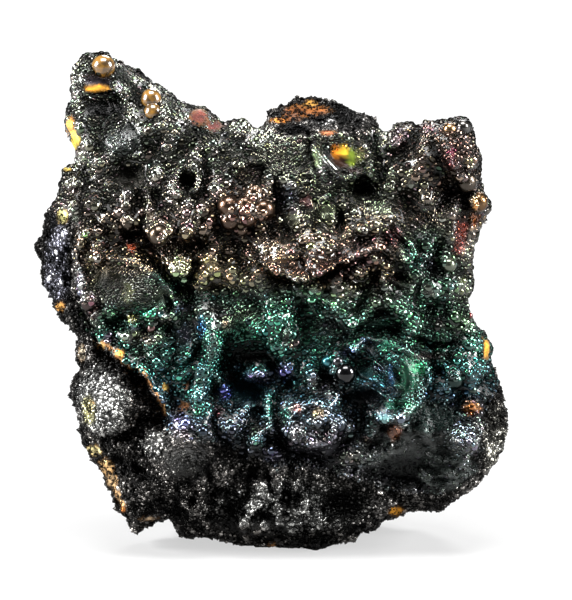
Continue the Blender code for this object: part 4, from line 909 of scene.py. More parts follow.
# Lighter and coloured parts of the matrix: u, v, half width, half height, colour, strength
MATRIX_PATCHES = {
    "large dome": (-26.7, 25.4, 6.2, 7.6, "#343433", 1),
    "yellow of the dome": (-28.8, 23.4, 1.6, 3.2, "#4a4830", 0.9),
    "second dome": (-13.4, 15.2, 4.6, 3.6, "#161615", 0.7),
    "side of the second dome": (-18.4, 18.4, 3.4, 3.4, "#222221", 0.9),
    "left slab": (-34, 47, 2.8, 9, "#54545c", 0.9),
    "black of the top": (10, 70.6, 8, 2.6, "#090909", 0.9),
    # A near-black sheet painted as the shadow under the overhanging top ledge.
    "painted shadow under the ledge": (3.6, 68.2, 5, 1.2, "#030303", 1),
    "right edge": (35.6, 19.5, 2.8, 7.5, "#403f3b", 1),
    "olive lump": (12.6, 15.8, 2.6, 1.6, "#45432f", 0.8),
    "brown of the foot": (-2, 4, 6, 1.4, "#2e2b28", 0.5),
    "grey of the foot": (3, 8, 17, 5.6, "#30302f", 0.9),
}

# Parts of the crust that gleam more or less than the rest: u, v, half width, half height, factor
GLEAM = {
    "gold": (-9, 45, 7, 4, 2),
    "above the gold": (-14, 48.6, 7, 2.4, 1.6),
    "beside the cluster": (-5, 50, 4, 2.4, 1.6),
    "under the ledge": (8, 42, 10, 2.6, 3),
    "middle": (0, 38, 12, 5, 0.95),
    "right green": (26, 46, 6, 5, 0.7),
    "pit rim": (-2, 29, 5, 3, 1.1),
    "lower left": (-14, 25, 4, 5, 1.5),
    "left of the horn": (-30, 75, 3, 6, 1.5),
    "shell": (20, 30, 6, 6, 0.38),
    "top of the shell": (17, 33.4, 4, 1.8, 0.32),
    "right of the horn": (-12, 67, 5, 3, 0.6),
    "upper left": (-20, 56, 6, 3, 0.75),
    "lobe": (-23, 43, 7, 4.6, 0.32),
    "bottom of the crust": (-6, 20, 6, 4, 0.7),
    "corner": (29, 66, 6.5, 7.5, 0.34),
    "inside of the shell": (16, 27.6, 3.4, 3.2, 3),
    "cone": (7, 20.6, 5, 5, 0.7),
    "lobe of the upper right": (22, 66.4, 4.6, 4.4, 0.48),
    "ledge": (8, 47.4, 9, 3.4, 0.56),
    "rows": (2.6, 63.6, 5, 4, 0.46),
    "green fan": (9, 55.4, 3, 2.6, 0.7),
    "white fan": (3.6, 54.2, 3, 2.6, 1.5),
    "pits by the eye": (16, 59, 4, 4, 0.4),
    "red of the flank": (31, 51.4, 2, 4, 2),
    "black of the middle": (9, 36.6, 3.4, 2.6, 2.8),
    "left of the crater": (-20, 62, 5, 4, 1.5),
    "right side of the horn": (-18, 69, 4, 4, 0.8),
    "black of the top": (12, 69.6, 5, 2.4, 0.45),
    "facet": (-13.6, 35.4, 3, 4, 2.4),
    "pit": (-4, 27, 4, 4, 3.4),
    "under the lobe": (-23, 36, 6, 3, 2.1),
    "green of the right": (25, 38, 5, 4, 1.6),
    "horn dome": (-23.4, 66.3, 4, 3.6, 0.85),
    "top of the dome": (-22.8, 68.2, 2.4, 1.8, 0.5),
    "right edge": (34, 30, 3, 6, 0.7),
    "top middle": (-4, 66, 5, 3, 0.7),
}

# Dusty parts of the matrix, which do not shine: u, v, half width, half height
DUSTY = {
    "second dome": (-13.4, 15.2, 4.8, 3.8),
    "brown of the foot": (-2, 5, 7, 2),
    "apron": (8, 16.6, 5, 1.6),
}


def linear(colour):
    """An sRGB hex colour as linear red, green and blue."""
    parts = [int(colour[i:i + 2], 16) / 255 for i in (1, 3, 5)]
    return [part / 12.92 if part <= 0.04045 else ((part + 0.055) / 1.055) ** 2.4 for part in parts]


def smooth_step(values):
    """0 below 0, 1 above 1, with an even curve between them."""
    values = np.clip(values, 0, 1)
    return values * values * (3 - 2 * values)


def distance_to_path(places, path):
    """Distance of each place to the polyline through the path's points."""
    nearest = np.full(len(places), np.inf)
    for start, end in zip(path[:-1], path[1:]):
        start, run = np.array(start, float), np.subtract(end, start, dtype=float)
        along = np.clip((places - start) @ run / (run @ run), 0, 1)
        gap = places - start - along[:, None] * run
        nearest = np.minimum(nearest, np.hypot(gap[:, 0], gap[:, 1]))
    return nearest


def inside(places, polygon):
    """Which places lie inside the polygon."""
    within = np.zeros(len(places), bool)
    for (u1, v1), (u2, v2) in zip(polygon, polygon[1:] + polygon[:1]):
        if v1 != v2:
            crosses = (v1 > places[:, 1]) != (v2 > places[:, 1])
            at = (u2 - u1) * (places[:, 1] - v1) / (v2 - v1) + u1
            within ^= crosses & (places[:, 0] < at)
    return within


def reach_of(places, u, v, half_width, half_height):
    """0 at the middle of an ellipse, 1 on its edge."""
    return np.hypot((places[:, 0] - u) / half_width, (places[:, 1] - v) / half_height)


def bump(places, *ellipse):
    """1 at the middle of an ellipse, falling smoothly to 0 at its edge."""
    return smooth_step(1.15 * (1 - reach_of(places, *ellipse)))


def patches_of(places, patches, sharpness=2.2, spread=1.2):
    """1 in the middle of each of the patches, 0 outside them all."""
    amount = np.zeros(len(places))
    for u, v, half_width, half_height in patches.values():
        near = bump(places, u, v, spread * half_width, spread * half_height)
        amount = np.maximum(amount, smooth_step(sharpness * near))
    return amount


def roughness(points, size, octaves=3):
    """Fractal noise at each point, about -1 to 1, for lumps of the given size in mm."""
    return np.array([noise.fractal(Vector(point) / size, 0.9, 2.1, octaves) for point in points])


def along(path, step):
    """Places at even steps along the line through the path's points."""
    path = np.array(path, float)
    ends = np.concatenate([[0], np.hypot(*np.diff(path, axis=0).T).cumsum()])
    marks = np.arange(0, ends[-1], step)
    return np.column_stack([np.interp(marks, ends, path[:, i]) for i in (0, 1)])


def cells(points, size):
    """Rounded lumps of the given size that meet in creases, 1 on their tops and 0 between."""
    nearest = [noise.voronoi(Vector(point) / size)[0][0] for point in points]
    return 1 - np.clip(np.array(nearest) / 0.8, 0, 1) ** 2


def lumps(places, size, seed, power=0.5):
    """Height of a heap of lumps of about the given size; a higher power makes them crags."""
    table = np.random.default_rng(seed).random((64, 64, 3))
    square = np.floor(places / size).astype(int)
    top = np.zeros(len(places))
    for step_u in (-1, 0, 1):
        for step_v in (-1, 0, 1):
            near = square + (step_u, step_v)
            chance = table[near[:, 0] % 64, near[:, 1] % 64]
            middle = (near + 0.1 + 0.8 * chance[:, :2]) * size
            radius = size * (0.42 + 0.36 * chance[:, 2])
            away = np.hypot(*(places - middle).T) / radius
            top = np.maximum(top, radius * (1 - np.clip(away, 0, 1) ** 2) ** power)
    return top


def steps(values, step):
    """Values drawn together into flat treads with short risers between them."""
    whole = np.floor(values / step)
    return step * (whole + smooth_step((values / step - whole - 0.3) / 0.4))


def from_edge(places, without_foot=False):
    """Distance inwards from the outline, from its sides and top alone if the foot is left out."""
    ring = OUTLINE + OUTLINE[:1]
    if without_foot:
        ring = [(u, v - 40 if v < BOTTOM_IGNORED else v) for u, v in ring]
    return distance_to_path(places, ring)


def flat(places):
    """The places as points of the plane w = 0."""
    return np.column_stack([places, np.zeros(len(places))])


def wandered(places, size, height, seed=0):
    """The places shifted about by noise."""
    points = flat(places) + (0, 0, seed)
    shift = [roughness(points, size), roughness(points + (0, 0, 50), size)]
    return places + height * np.column_stack(shift)


def crusted(places):
    """1 on the crust of the face, 0 on the matrix, over a ragged edge about 1 mm wide."""
    ragged = wandered(places, 2.5, 0.5)
    away = distance_to_path(ragged, CRUST_EDGE + CRUST_EDGE[:1])
    return smooth_step(0.5 + np.where(inside(ragged, CRUST_EDGE), away, -away))


def form_of(places, inwards):
    """Height w of the face over each (u, v) without its relief."""
    u, v = places[:, 0], places[:, 1]
    across = 1 - (u / FACE_HALF_WIDTH) ** 2
    upright = 1 - ((v - FACE_MIDDLE) / FACE_HALF_HEIGHT) ** 2
    height = BULGE * np.clip(across, 0, 1) * np.clip(upright, 0, 1)
    height -= FOOT_SLOPE * np.clip(FOOT_TOP - v, 0, None)
    for area in AREAS.values():
        height += area[-1] * bump(places, *area[:-1])
    inwards = np.clip(inwards / RIM_ROUND, 0, 1)
    return height - RIM_ROUND * (1 - np.sqrt(1 - (1 - inwards) ** 2))


def swells_of(bent):
    """Rise of the smooth swells and pits."""
    height = np.zeros(len(bent))
    for *ellipse, rise in SWELLS.values():
        height += rise * bump(bent, *ellipse)
    return height


def ridges_of(places, bent):
    """Rise of the ridges, the grooves and the round holes."""
    height = np.zeros(len(places))
    for half_width, rise, path in LINES.values():
        height += rise * smooth_step(1 - distance_to_path(bent, path) / (1.25 * half_width))
    slight = wandered(places, 1.5, 0.08, 60)
    for u, v, radius, depth in HOLES.values():
        height += depth * smooth_step(2.4 * (1 - reach_of(slight, u, v, radius, radius)))
    return height


def domes_of(places):
    """Height of the round lumps, 0 between them."""
    height = np.zeros(len(places))
    for *ellipse, rise in DOMES:
        round_top = np.sqrt(1 - np.clip(reach_of(places, *ellipse), 0, 1) ** 2)
        height = np.maximum(height, rise * round_top)
    return height + 0.3 * (height > 0)


def heap_of(places, bent, usual):
    """Height of the usual heap: lumps on the crust, crags on the matrix."""
    large = LARGE_LUMP * lumps(bent, LARGE_LUMP_SIZE, 1) * usual
    middling = LUMP * lumps(bent, LUMP_SIZE, 2) * (0.1 + 0.9 * usual)
    small = SMALL_LUMP * lumps(bent, SMALL_LUMP_SIZE, 3) * (0.25 + 0.75 * usual)
    heap = large + middling + small - USUAL_RISE
    crags = 0.4 * lumps(bent, 3.1, 4, 1) + 0.7 * lumps(bent, 1.5, 5, 1) + 0.4 * large
    bare = 1 - crusted(places)
    heap = heap * (1 - bare) + (CRAG_HEIGHT * crags - USUAL_RISE) * (0.4 + 0.6 * usual) * bare
    return heap - 0.8 * patches_of(places, CLUSTERS)


def relief_of(places):
    """Rise of the lumps, ridges, pits and grooves over each (u, v)."""
    bent = wandered(wandered(places, 3.5, 0.45, 20), 1.3, 0.14, 30)
    usual = 1 - patches_of(places, CALM)
    uneven = UNEVEN_HEIGHT * usual * roughness(flat(places) + (0, 0, 40), UNEVEN_SIZE)
    raised = np.maximum(heap_of(places, bent, usual), domes_of(places))
    return swells_of(bent) + ridges_of(places, bent) + uneven + raised


def back_of(places, inwards):
    """Height w of the broken back over each (u, v)."""
    u, v = (places - BREAK_MIDDLE).T
    depth = -RIM_BACK - BACK_SLOPE * inwards
    for middle, slope_u, slope_v in BREAKS:
        depth = np.maximum(depth, middle + slope_u * u + slope_v * v)
    points = flat(places)
    uneven = steps(BACK_HEIGHT * roughness(points, BACK_SIZE), BACK_STEP)
    uneven += BACK_LUMP_HEIGHT * cells(points, BACK_LUMP_SIZE)
    depth += uneven * smooth_step(inwards / RIM_ROUND)
    return np.clip(0.96 * depth, -DEPTH, -RIM_BACK)


def film_colour(places):
    """Colour of the crust's film at each (u, v), from the bands and the patches."""
    far, near = wandered(places, 5, 1.8), wandered(places, 2, 0.35)
    heights = [v for v, colour in BANDS]
    colours = np.array([linear(colour) for v, colour in BANDS])
    blended = np.column_stack([np.interp(far[:, 1], heights, colours[:, i]) for i in range(3)])
    for u, v, half_width, half_height, colour, strength in PATCHES.values():
        share = strength * bump(near, u, v, 1.35 * half_width, 1.35 * half_height)[:, None]
        blended = blended * (1 - share) + np.array(linear(colour)) * share
    return blended + GREYED * (blended.mean(axis=1)[:, None] - blended)


def matrix_colour(places):
    """Colour of the matrix at each (u, v)."""
    near = wandered(places, 3, 0.6, 17)
    colours = np.tile(linear(MATRIX_COLOUR), (len(places), 1))
    for *ellipse, colour, strength in MATRIX_PATCHES.values():
        share = strength * smooth_step(1.5 * bump(near, *ellipse))[:, None]
        colours = colours * (1 - share) + np.array(linear(colour)) * share
    return colours


def factors_of(places, patches):
    """A factor at each (u, v): 1 outside the patches, and each patch's own inside it."""
    near = wandered(places, 4, 0.8, 19)
    factor = np.ones(len(places))
    for *ellipse, own in patches.values():
        factor += (own - factor) * smooth_step(2 * bump(near, *ellipse))
    return factor


def glaze_colour(places):
    """How much glaze lies at each (u, v), and its colour."""
    shift = wandered(places, 1.3, 0.7, 13) - places
    amount = np.zeros(len(places))
    colours = np.zeros((len(places), 3))
    for u, v, half_width, half_height, colour, ragged in GLAZES.values():
        near = places + ragged * shift
        share = smooth_step(1.6 * bump(near, u, v, 1.3 * half_width, 1.3 * half_height))
        own = np.where(amount > 0, share, 1)[:, None]
        colours = colours * (1 - own) + np.array(linear(colour)) * own
        amount = np.maximum(amount, share)
    return amount, colours


def ochre_colour(places):
    """How much ochre lies at each (u, v), and its colour."""
    near = wandered(places, 1.5, 0.3, 9)
    amount = np.zeros(len(places))
    colours = np.tile(linear("#b88040"), (len(places), 1))
    shares = [(smooth_step(2.4 * bump(near, u, v, 1.25 * half_width, 1.25 * half_height)), colour)
              for u, v, half_width, half_height, colour in OCHRES.values()]
    shares += [(smooth_step(1.6 * (1 - distance_to_path(near, path) / (1.7 * half_width))), colour)
               for half_width, colour, path in OCHRE_LINES.values()]
    for share, colour in shares:
        colours = colours * (1 - share[:, None]) + np.array(linear(colour)) * share[:, None]
        amount = np.maximum(amount, share)
    return amount, colours


def blurred(values, radius):
    """A map smoothed over the given radius in mm."""
    across, up = (np.fft.fftfreq(count, MAP_STEP) for count in values.shape)
    passed = np.exp(-2 * (math.pi * radius) ** 2 * (across[:, None] ** 2 + up[None] ** 2))
    return np.fft.ifft2(np.fft.fft2(values) * passed).real


@functools.lru_cache(maxsize=None)
def face_map():
    """All that is looked up by (u, v), worked out once on a grid over the face."""
    axes = [low + MAP_STEP * np.arange(count) for low, count in zip(MAP_LOW, MAP_COUNT)]
    places = np.stack(np.meshgrid(*axes, indexing="ij"), axis=-1).reshape(-1, 2)
    inwards = from_edge(places)
    whole = relief_of(places)
    relief = whole * smooth_step(inwards / 2)
    form = form_of(places, inwards)
    height = (form_of(places, np.full(len(places), RIM_ROUND)) + whole).reshape(MAP_COUNT)
    # Openness of the relief, used for painted shade: low in hollows and creases, high on the tops,
    # varied by uneven noise.
    hollow = sum(share * (height - blurred(height, radius))
                 for share, radius in ((1, 0.6), (0.8, 1.8), (0.4, 4.5)))
    uneven = 0.55 * roughness(flat(places) + (0, 0, 80), 1.7)
    amount, ochres = ochre_colour(places)
    glazed, glazes = glaze_colour(places)
    gleam = factors_of(places, GLEAM)
    film = film_colour(places) * gleam[:, None]
    maps = {
        "relief": relief,
        "form": form,
        "open": 0.5 + 0.5 * np.tanh(hollow.ravel() + uneven),
        "crust": crusted(places),
        "film": film,
        "gleam": np.clip(gleam, 0, 1.7),
        "ochre": amount,
        "ochre colour": ochres,
        "glaze": glazed,
        "glaze colour": glazes,
        "matrix": matrix_colour(places),
        "bead size": factors_of(places, BEAD_SIZES),
        "smooth": patches_of(places, SMOOTH, spread=1),
        "dusty": patches_of(places, DUSTY, 1.6),
        "wrinkled": patches_of(places, WRINKLED, 1.6),
        "calm": patches_of(places, CALM),
    }
    return {name: values.reshape(*MAP_COUNT, -1) for name, values in maps.items()}


def look_up(name, places):
    """A map's values at the places, drawn evenly between the grid's points."""
    values = face_map()[name]
    at = (places - MAP_LOW) / MAP_STEP
    at = np.clip(at, 0, np.array(MAP_COUNT) - 1.001)
    low = at.astype(int)
    share = at - low
    total = 0
    for i in (0, 1):
        for j in (0, 1):
            part = (share[:, 0] if i else 1 - share[:, 0]) * (share[:, 1] if j else 1 - share[:, 1])
            total = total + part[:, None] * values[low[:, 0] + i, low[:, 1] + j]
    return total[:, 0] if values.shape[2] == 1 else total


def unit(directions, axis=-1):
    """The directions drawn to a length of 1."""
    return directions / np.linalg.norm(directions, axis=axis, keepdims=True)


def vectors(items, name):
    """A vector of each of the mesh's items, as rows."""
    values = np.empty(3 * len(items), np.float32)
    items.foreach_get(name, values)
    return values.reshape(-1, 3).astype(float)


def points_of(piece):
    """The piece's vertices in mm."""
    return vectors(piece.data.vertices, "co") / MM


def set_points(piece, points):
    """Moves the piece's vertices to the points, in mm."""
    piece.data.vertices.foreach_set("co", (points * MM).astype(np.float32).ravel())
    piece.data.update()


def normals_of(piece):
    """The piece's normals, one for each vertex."""
    return vectors(piece.data.vertex_normals, "vector")


def to_world(points, middle=(0, 0)):
    """Points (u, v, w) as (x, y, z), in mm."""
    u, v, w = points.T
    y = v * math.sin(LEAN) - w * math.cos(LEAN)
    z = v * math.cos(LEAN) + w * math.sin(LEAN)
    return np.column_stack([u - middle[0], y - middle[1], z])


def to_face(points, middle=(0, 0)):
    """Points (x, y, z) as (u, v, w), in mm."""
    x, y, z = points.T
    y = y + middle[1]
    v = y * math.sin(LEAN) + z * math.cos(LEAN)
    w = z * math.sin(LEAN) - y * math.cos(LEAN)
    return np.column_stack([x + middle[0], v, w])


def take(piece):
    """The piece alone is selected and active."""
    bpy.ops.object.select_all(action="DESELECT")
    piece.select_set(True)
    bpy.context.view_layer.objects.active = piece


def apply_modifier(piece, kind, **settings):
    """Adds the modifier and applies it."""
    take(piece)
    modifier = piece.modifiers.new(kind.title(), kind)
    for name, value in settings.items():
        setattr(modifier, name, value)
    bpy.ops.object.modifier_apply(modifier=modifier.name)


def add_colours(mesh, name, colours):
    """Keeps a colour for each vertex in the mesh."""
    layer = mesh.attributes.new(name, "FLOAT_COLOR", "POINT")
    whole = np.column_stack([colours, np.ones(len(colours))]).astype(np.float32)
    layer.data.foreach_set("color", whole.ravel())


def add_values(mesh, name, values):
    """Keeps a value for each vertex in the mesh."""
    layer = mesh.attributes.new(name, "FLOAT", "POINT")
    layer.data.foreach_set("value", np.asarray(values, np.float32))


def set_inputs(tree, node, **links):
    """Each link names an input of the node and gives a socket or a value."""
    for name, value in links.items():
        socket = node.inputs[int(name[1:]) if name[1:].isdigit() else name.replace("_", " ")]
        if isinstance(value, bpy.types.NodeSocket):
            tree.links.new(value, socket)
        else:
            socket.default_value = value


def add_node(tree, kind, settings=None, **links):
    """A node with its settings and inputs."""
    node = tree.nodes.new(kind)
    for name, value in (settings or {}).items():
        setattr(node, name, value)
    set_inputs(tree, node, **links)
    return node


def new_material(name):
    """A material, its node tree and its surface node."""
    material = bpy.data.materials.new(name)
    material.use_nodes = True
    tree = material.node_tree
    return material, tree, tree.nodes["Principled BSDF"]


def attribute(tree, name, output="Fac"):
    """The values that the mesh holds under the name."""
    return add_node(tree, "ShaderNodeAttribute", {"attribute_name": name}).outputs[output]


def object_place(tree):
    """The place in the object's own frame."""
    return add_node(tree, "ShaderNodeTexCoord").outputs["Object"]


def ranged(tree, value, low, high, to_low, to_high):
    """The value moved from one range to another."""
    return add_node(tree, "ShaderNodeMapRange", Value=value, From_Min=low, From_Max=high,
                    To_Min=to_low, To_Max=to_high).outputs[0]


def rock_material():
    """Goethite crust under a thin iridescent film, dull limonite matrix, and earthy ochre."""
    material, tree, surface = new_material("limonite crust and matrix")
    place = object_place(tree)
    grain = add_node(tree, "ShaderNodeTexNoise", Vector=place, Scale=2400, Detail=4,
                     Roughness=0.6).outputs["Fac"]
    speck = add_node(tree, "ShaderNodeTexVoronoi", Vector=place, Scale=2600).outputs["Distance"]
    dome = add_node(tree, "ShaderNodeMath", {"operation": "MULTIPLY"}, _0=speck, _1=speck)
    beady = attribute(tree, "beady")
    shade = add_node(tree, "ShaderNodeMix", _0=beady, _2=1,
                     _3=ranged(tree, grain, 0.3, 0.7, 0.1, 1.9)).outputs[0]
    tone = add_node(tree, "ShaderNodeVectorMath", {"operation": "SCALE"},
                    _0=attribute(tree, "film", "Color"), Scale=shade)
    fine = add_node(tree, "ShaderNodeBump", {"invert": True}, Height=dome.outputs[0],
                    Distance=0.0004, Strength=beady)
    rough = add_node(tree, "ShaderNodeBump", Height=grain, Distance=0.0003,
                     Strength=ranged(tree, beady, 0, 0.5, 0.2, 0.8), Normal=fine.outputs[0])
    set_inputs(tree, surface, Base_Color=tone.outputs[0], Metallic=attribute(tree, "metal"),
               Roughness=attribute(tree, "rough"), Specular_IOR_Level=0.3,
               Specular_Tint=DIM_TINT, Coat_Weight=attribute(tree, "coat"),
               Coat_Roughness=0.1, Normal=rough.outputs[0])
    return material


def bead_material():
    """Goethite beads: smooth metallic skins that each mirror the lights in one small spot."""
    material, tree, surface = new_material("iridescent goethite beads")
    set_inputs(tree, surface, Base_Color=attribute(tree, "film", "Color"), Metallic=1,
               Roughness=0.2, Specular_Tint=DIM_TINT, Coat_Weight=attribute(tree, "coat"),
               Coat_Roughness=0.08)
    return material


def grape_material():
    """Smooth goethite lumps, with a soft sheen and a finely wrinkled skin."""
    material, tree, surface = new_material("smooth goethite lumps")
    wrinkle = add_node(tree, "ShaderNodeTexNoise", Vector=object_place(tree), Scale=1500,
                       Detail=3)
    rough = add_node(tree, "ShaderNodeBump", Height=wrinkle.outputs["Fac"], Distance=0.00025,
                     Strength=0.5)
    set_inputs(tree, surface, Base_Color=attribute(tree, "film", "Color"), Metallic=1,
               Roughness=0.3, Specular_Tint=(0.3, 0.3, 0.3, 1),
               Coat_Weight=attribute(tree, "coat"), Coat_Roughness=0.1,
               Normal=rough.outputs[0])
    return material


def grain_material():
    """Small broken grains of limonite and goethite, with shiny facets."""
    material, tree, surface = new_material("limonite grains")
    set_inputs(tree, surface, Base_Color=attribute(tree, "film", "Color"), Metallic=0.8,
               Roughness=0.27, Specular_Tint=DIM_TINT)
    return material


def amber_material():
    """Glassy amber skin over ochre, with a clear coat that takes a sharp highlight."""
    material, tree, surface = new_material("amber limonite skin")
    cloud = add_node(tree, "ShaderNodeTexNoise", Vector=object_place(tree), Scale=900, Detail=3)
    ramp = add_node(tree, "ShaderNodeValToRGB", Fac=cloud.outputs["Fac"])
    for stop, position, colour in zip(ramp.color_ramp.elements, (0.38, 0.64),
                                      ("#33240f", "#70501f")):
        stop.position = position
        stop.color = (*linear(colour), 1)
    set_inputs(tree, surface, Base_Color=ramp.outputs[0], Roughness=0.25, Coat_Weight=1,
               Coat_Roughness=0.06)
    return material


def floor_material():
    """A pale floor that glows a little more further out, so that it stays even."""
    material, tree, surface = new_material("pale floor")
    away = add_node(tree, "ShaderNodeVectorMath", {"operation": "LENGTH"}, _0=object_place(tree))
    glow = ranged(tree, away.outputs["Value"], 0.05, 0.6, 0.6, 0.93)
    set_inputs(tree, surface, Emission_Strength=glow, Emission_Color=(1, 1, 1, 1),
               Base_Color=(0.1, 0.1, 0.1, 1), Roughness=0.7, Specular_IOR_Level=0.2)
    return material


def finish_piece(piece, material):
    """Gives the piece its material, smooth shading and body."""
    piece.data.materials.clear()
    piece.data.materials.append(material)
    piece.data.shade_smooth()
    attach(piece, "root")


def joined(name, form, centres, axes):
    """One mesh with a copy of the form at each centre, turned and sized by its axes."""
    points, faces = form
    placed = np.einsum("pj,nij->npi", points, axes) + centres[:, None, :]
    shifts = len(points) * np.arange(len(centres))[:, None, None]
    corners = (faces[None] + shifts).reshape(-1, 3)
    mesh = bpy.data.meshes.new(name)
    mesh.vertices.add(placed.size // 3)
    mesh.vertices.foreach_set("co", (placed * MM).astype(np.float32).ravel())
    mesh.loops.add(corners.size)
    mesh.loops.foreach_set("vertex_index", corners.astype(np.int32).ravel())
    mesh.polygons.add(len(corners))
    mesh.polygons.foreach_set("loop_start", (3 * np.arange(len(corners))).astype(np.int32))
    mesh.update(calc_edges=True)
    piece = bpy.data.objects.new(name, mesh)
    bpy.context.collection.objects.link(piece)
    return piece


def laid(name, form, centres, axes, colours, material, coat=None):
    """A finished piece of copies of the form, each in its own colour and under its coat."""
    piece = joined(name, form, centres, axes)
    copies = np.repeat(np.clip(colours, 0, 0.95), len(form[0]), axis=0)
    add_colours(piece.data, "film", copies)
    finish_piece(piece, material)
    if coat is not None:
        whole = np.broadcast_to(coat, len(centres))
        add_values(piece.data, "coat", np.repeat(whole, len(form[0])))


def bead_form(sides, angles, sunk=0.2):
    """A bead cut from a ball: rings at the given angles from its tip, and the tip."""
    angles = [math.radians(degrees) for degrees in angles]
    widest = min(angles[0], math.pi / 2)
    turns = 2 * math.pi * np.arange(sides) / sides
    points, faces = [], []
    for row, angle in enumerate(angles + [0]):
        out = math.sin(angle) / math.sin(widest)
        rise = (math.cos(angle) - math.cos(widest)) / math.sin(widest) - sunk
        spread = turns + row * math.pi / sides if angle else turns[:1]
        points += [(out * math.cos(turn), out * math.sin(turn), rise) for turn in spread]
    for row in range(len(angles) - 1):
        for side in range(sides):
            low, high = row * sides, (row + 1) * sides
            ahead = (side + 1) % sides
            faces.append((low + side, low + ahead, high + side))
            faces.append((low + ahead, high + ahead, high + side))
    if angles[0] > math.pi / 2:
        faces += [(0, side + 1, side) for side in range(1, sides - 1)]
    top = (len(angles) - 1) * sides
    faces += [(top + side, top + (side + 1) % sides, top + sides) for side in range(sides)]
    return np.array(points), np.array(faces)


def axes_along(normals, sizes, heights, rng):
    """Turned and scaled axes for beads that stand on the surface, spun at random."""
    side = unit(np.cross(normals, rng.normal(size=normals.shape)))
    other = np.cross(normals, side)
    return np.stack([side * sizes[:, None], other * sizes[:, None], normals * heights[:, None]],
                    axis=2)


def surface_samples(rock, count, rng, density):
    """Random places on the rock, with the surface's normal there."""
    mesh = rock.data
    mesh.calc_loop_triangles()
    corners = np.empty(3 * len(mesh.loop_triangles), np.int32)
    mesh.loop_triangles.foreach_get("vertices", corners)
    corners = corners.reshape(-1, 3)
    points, normals = points_of(rock), normals_of(rock)
    sides = points[corners]
    areas = np.linalg.norm(np.cross(sides[:, 1] - sides[:, 0], sides[:, 2] - sides[:, 0]), axis=1)
    chance = areas * density[corners].mean(axis=1)
    chosen = corners[rng.choice(len(corners), count, p=chance / chance.sum())]
    shares = rng.dirichlet((1, 1, 1), count)
    at = np.einsum("nk,nkj->nj", shares, points[chosen])
    up = np.einsum("nk,nkj->nj", shares, normals[chosen])
    return at, unit(up)


def spaced(points, radii, gap):
    """Which samples to keep, so that beads no more than touch."""
    size = 2 * gap * radii.max()
    keys = np.floor(points / size).astype(int)
    near = [(i, j, k) for i in (-1, 0, 1) for j in (-1, 0, 1) for k in (-1, 0, 1)]
    grid, kept = {}, []
    places, reach = points.tolist(), (gap * radii).tolist()
    for index, (i, j, k) in enumerate(keys.tolist()):
        x, y, z = places[index]
        own = reach[index]
        taken = any((a - x) ** 2 + (b - y) ** 2 + (c - z) ** 2 < (own + other) ** 2
                    for di, dj, dk in near
                    for a, b, c, other in grid.get((i + di, j + dj, k + dk), ()))
        if not taken:
            grid.setdefault((i, j, k), []).append((x, y, z, own))
            kept.append(index)
    return np.array(kept)


class LimoniteSizes(bpy.types.PropertyGroup):
    voxel: bpy.props.FloatProperty(
        name="Mesh step", description="Edge of the faces that the rock is meshed with",
        default=0.3 * MM, unit="LENGTH")
    triangles: bpy.props.IntProperty(
        name="Rock triangles", description="Most triangles that the rock keeps", default=196000)
    bead: bpy.props.FloatProperty(
        name="Bead radius", description="Usual radius of the crust's beads",
        default=0.26 * MM, unit="LENGTH")
    middle: bpy.props.FloatVectorProperty(
        name="Middle", description="Middle of the rock's box before it is put over the origin",
        size=2, default=(0, 0))


def make_slab():
    """The outline as a flat slab, its face at w = 0."""
    bm = bmesh.new()
    corners = [bm.verts.new((u * MM, v * MM, -DEPTH * MM)) for u, v in OUTLINE]
    grown = bmesh.ops.extrude_face_region(bm, geom=[bm.faces.new(corners)])
    lifted = [item for item in grown["geom"] if isinstance(item, bmesh.types.BMVert)]
    bmesh.ops.translate(bm, verts=lifted, vec=(0, 0, DEPTH * MM))
    bmesh.ops.recalc_face_normals(bm, faces=bm.faces)
    data = bpy.data.meshes.new("limonite_rock")
    bm.to_mesh(data)
    bm.free()
    rock = bpy.data.objects.new("limonite_rock", data)
    bpy.context.collection.objects.link(rock)
    return rock


def carve(rock):
    """Stretches the slab's columns between the broken back and the face with its relief."""
    points = points_of(rock)
    places = points[:, :2]
    share = np.clip((points[:, 2] + DEPTH) / DEPTH, 0, 1)
    inwards = from_edge(places)
    relief = look_up("relief", places - (0, DROOP * USUAL_RISE)) * smooth_step(inwards / 2)
    front = form_of(places, inwards) + relief
    back = back_of(places, from_edge(places, without_foot=True))
    points[:, 2] = back + share * (front - back)
    points[:, 1] -= DROOP * relief * smooth_step(share * 4 - 3)
    set_points(rock, points)


def roughen(rock):
    """Rough matrix, and a slight unevenness over everything."""
    points, normals = points_of(rock), normals_of(rock)
    backward = smooth_step(0.5 - normals[:, 2])
    height = ROUGH_HEIGHT * (1 + 1.2 * backward) * roughness(points, ROUGH_SIZE)
    dull = np.maximum(1 - look_up("crust", points[:, :2]), smooth_step((-4 - points[:, 2]) / 3))
    dull *= 1 - 0.8 * look_up("calm", points[:, :2])
    height += MATRIX_HEIGHT * dull * (0.6 - 2 * np.abs(roughness(points, MATRIX_SIZE, 4)))
    wrinkled = look_up("wrinkled", points[:, :2]) * smooth_step((points[:, 2] + 8) / 3)
    height += WRINKLE_HEIGHT * wrinkled * roughness(points, WRINKLE_SIZE, 3)
    set_points(rock, points + normals * height[:, None])


def thin_back(rock, sizes):
    """Collapses most of the edges behind the face."""
    face = to_face(points_of(rock), sizes.middle)
    front = look_up("form", face[:, :2])
    behind = face[:, 2] < np.minimum(0, front) - THIN_BEHIND
    rock.data.vertices.foreach_set("select", behind)
    rock.data.edges.foreach_set("select", np.zeros(len(rock.data.edges), bool))
    rock.data.polygons.foreach_set("select", np.zeros(len(rock.data.polygons), bool))
    take(rock)
    bpy.ops.object.mode_set(mode="EDIT")
    bpy.ops.mesh.select_mode(type="VERT")
    bpy.ops.mesh.decimate(ratio=BACK_SHARE)
    bpy.ops.object.mode_set(mode="OBJECT")
    rock.data.calc_loop_triangles()


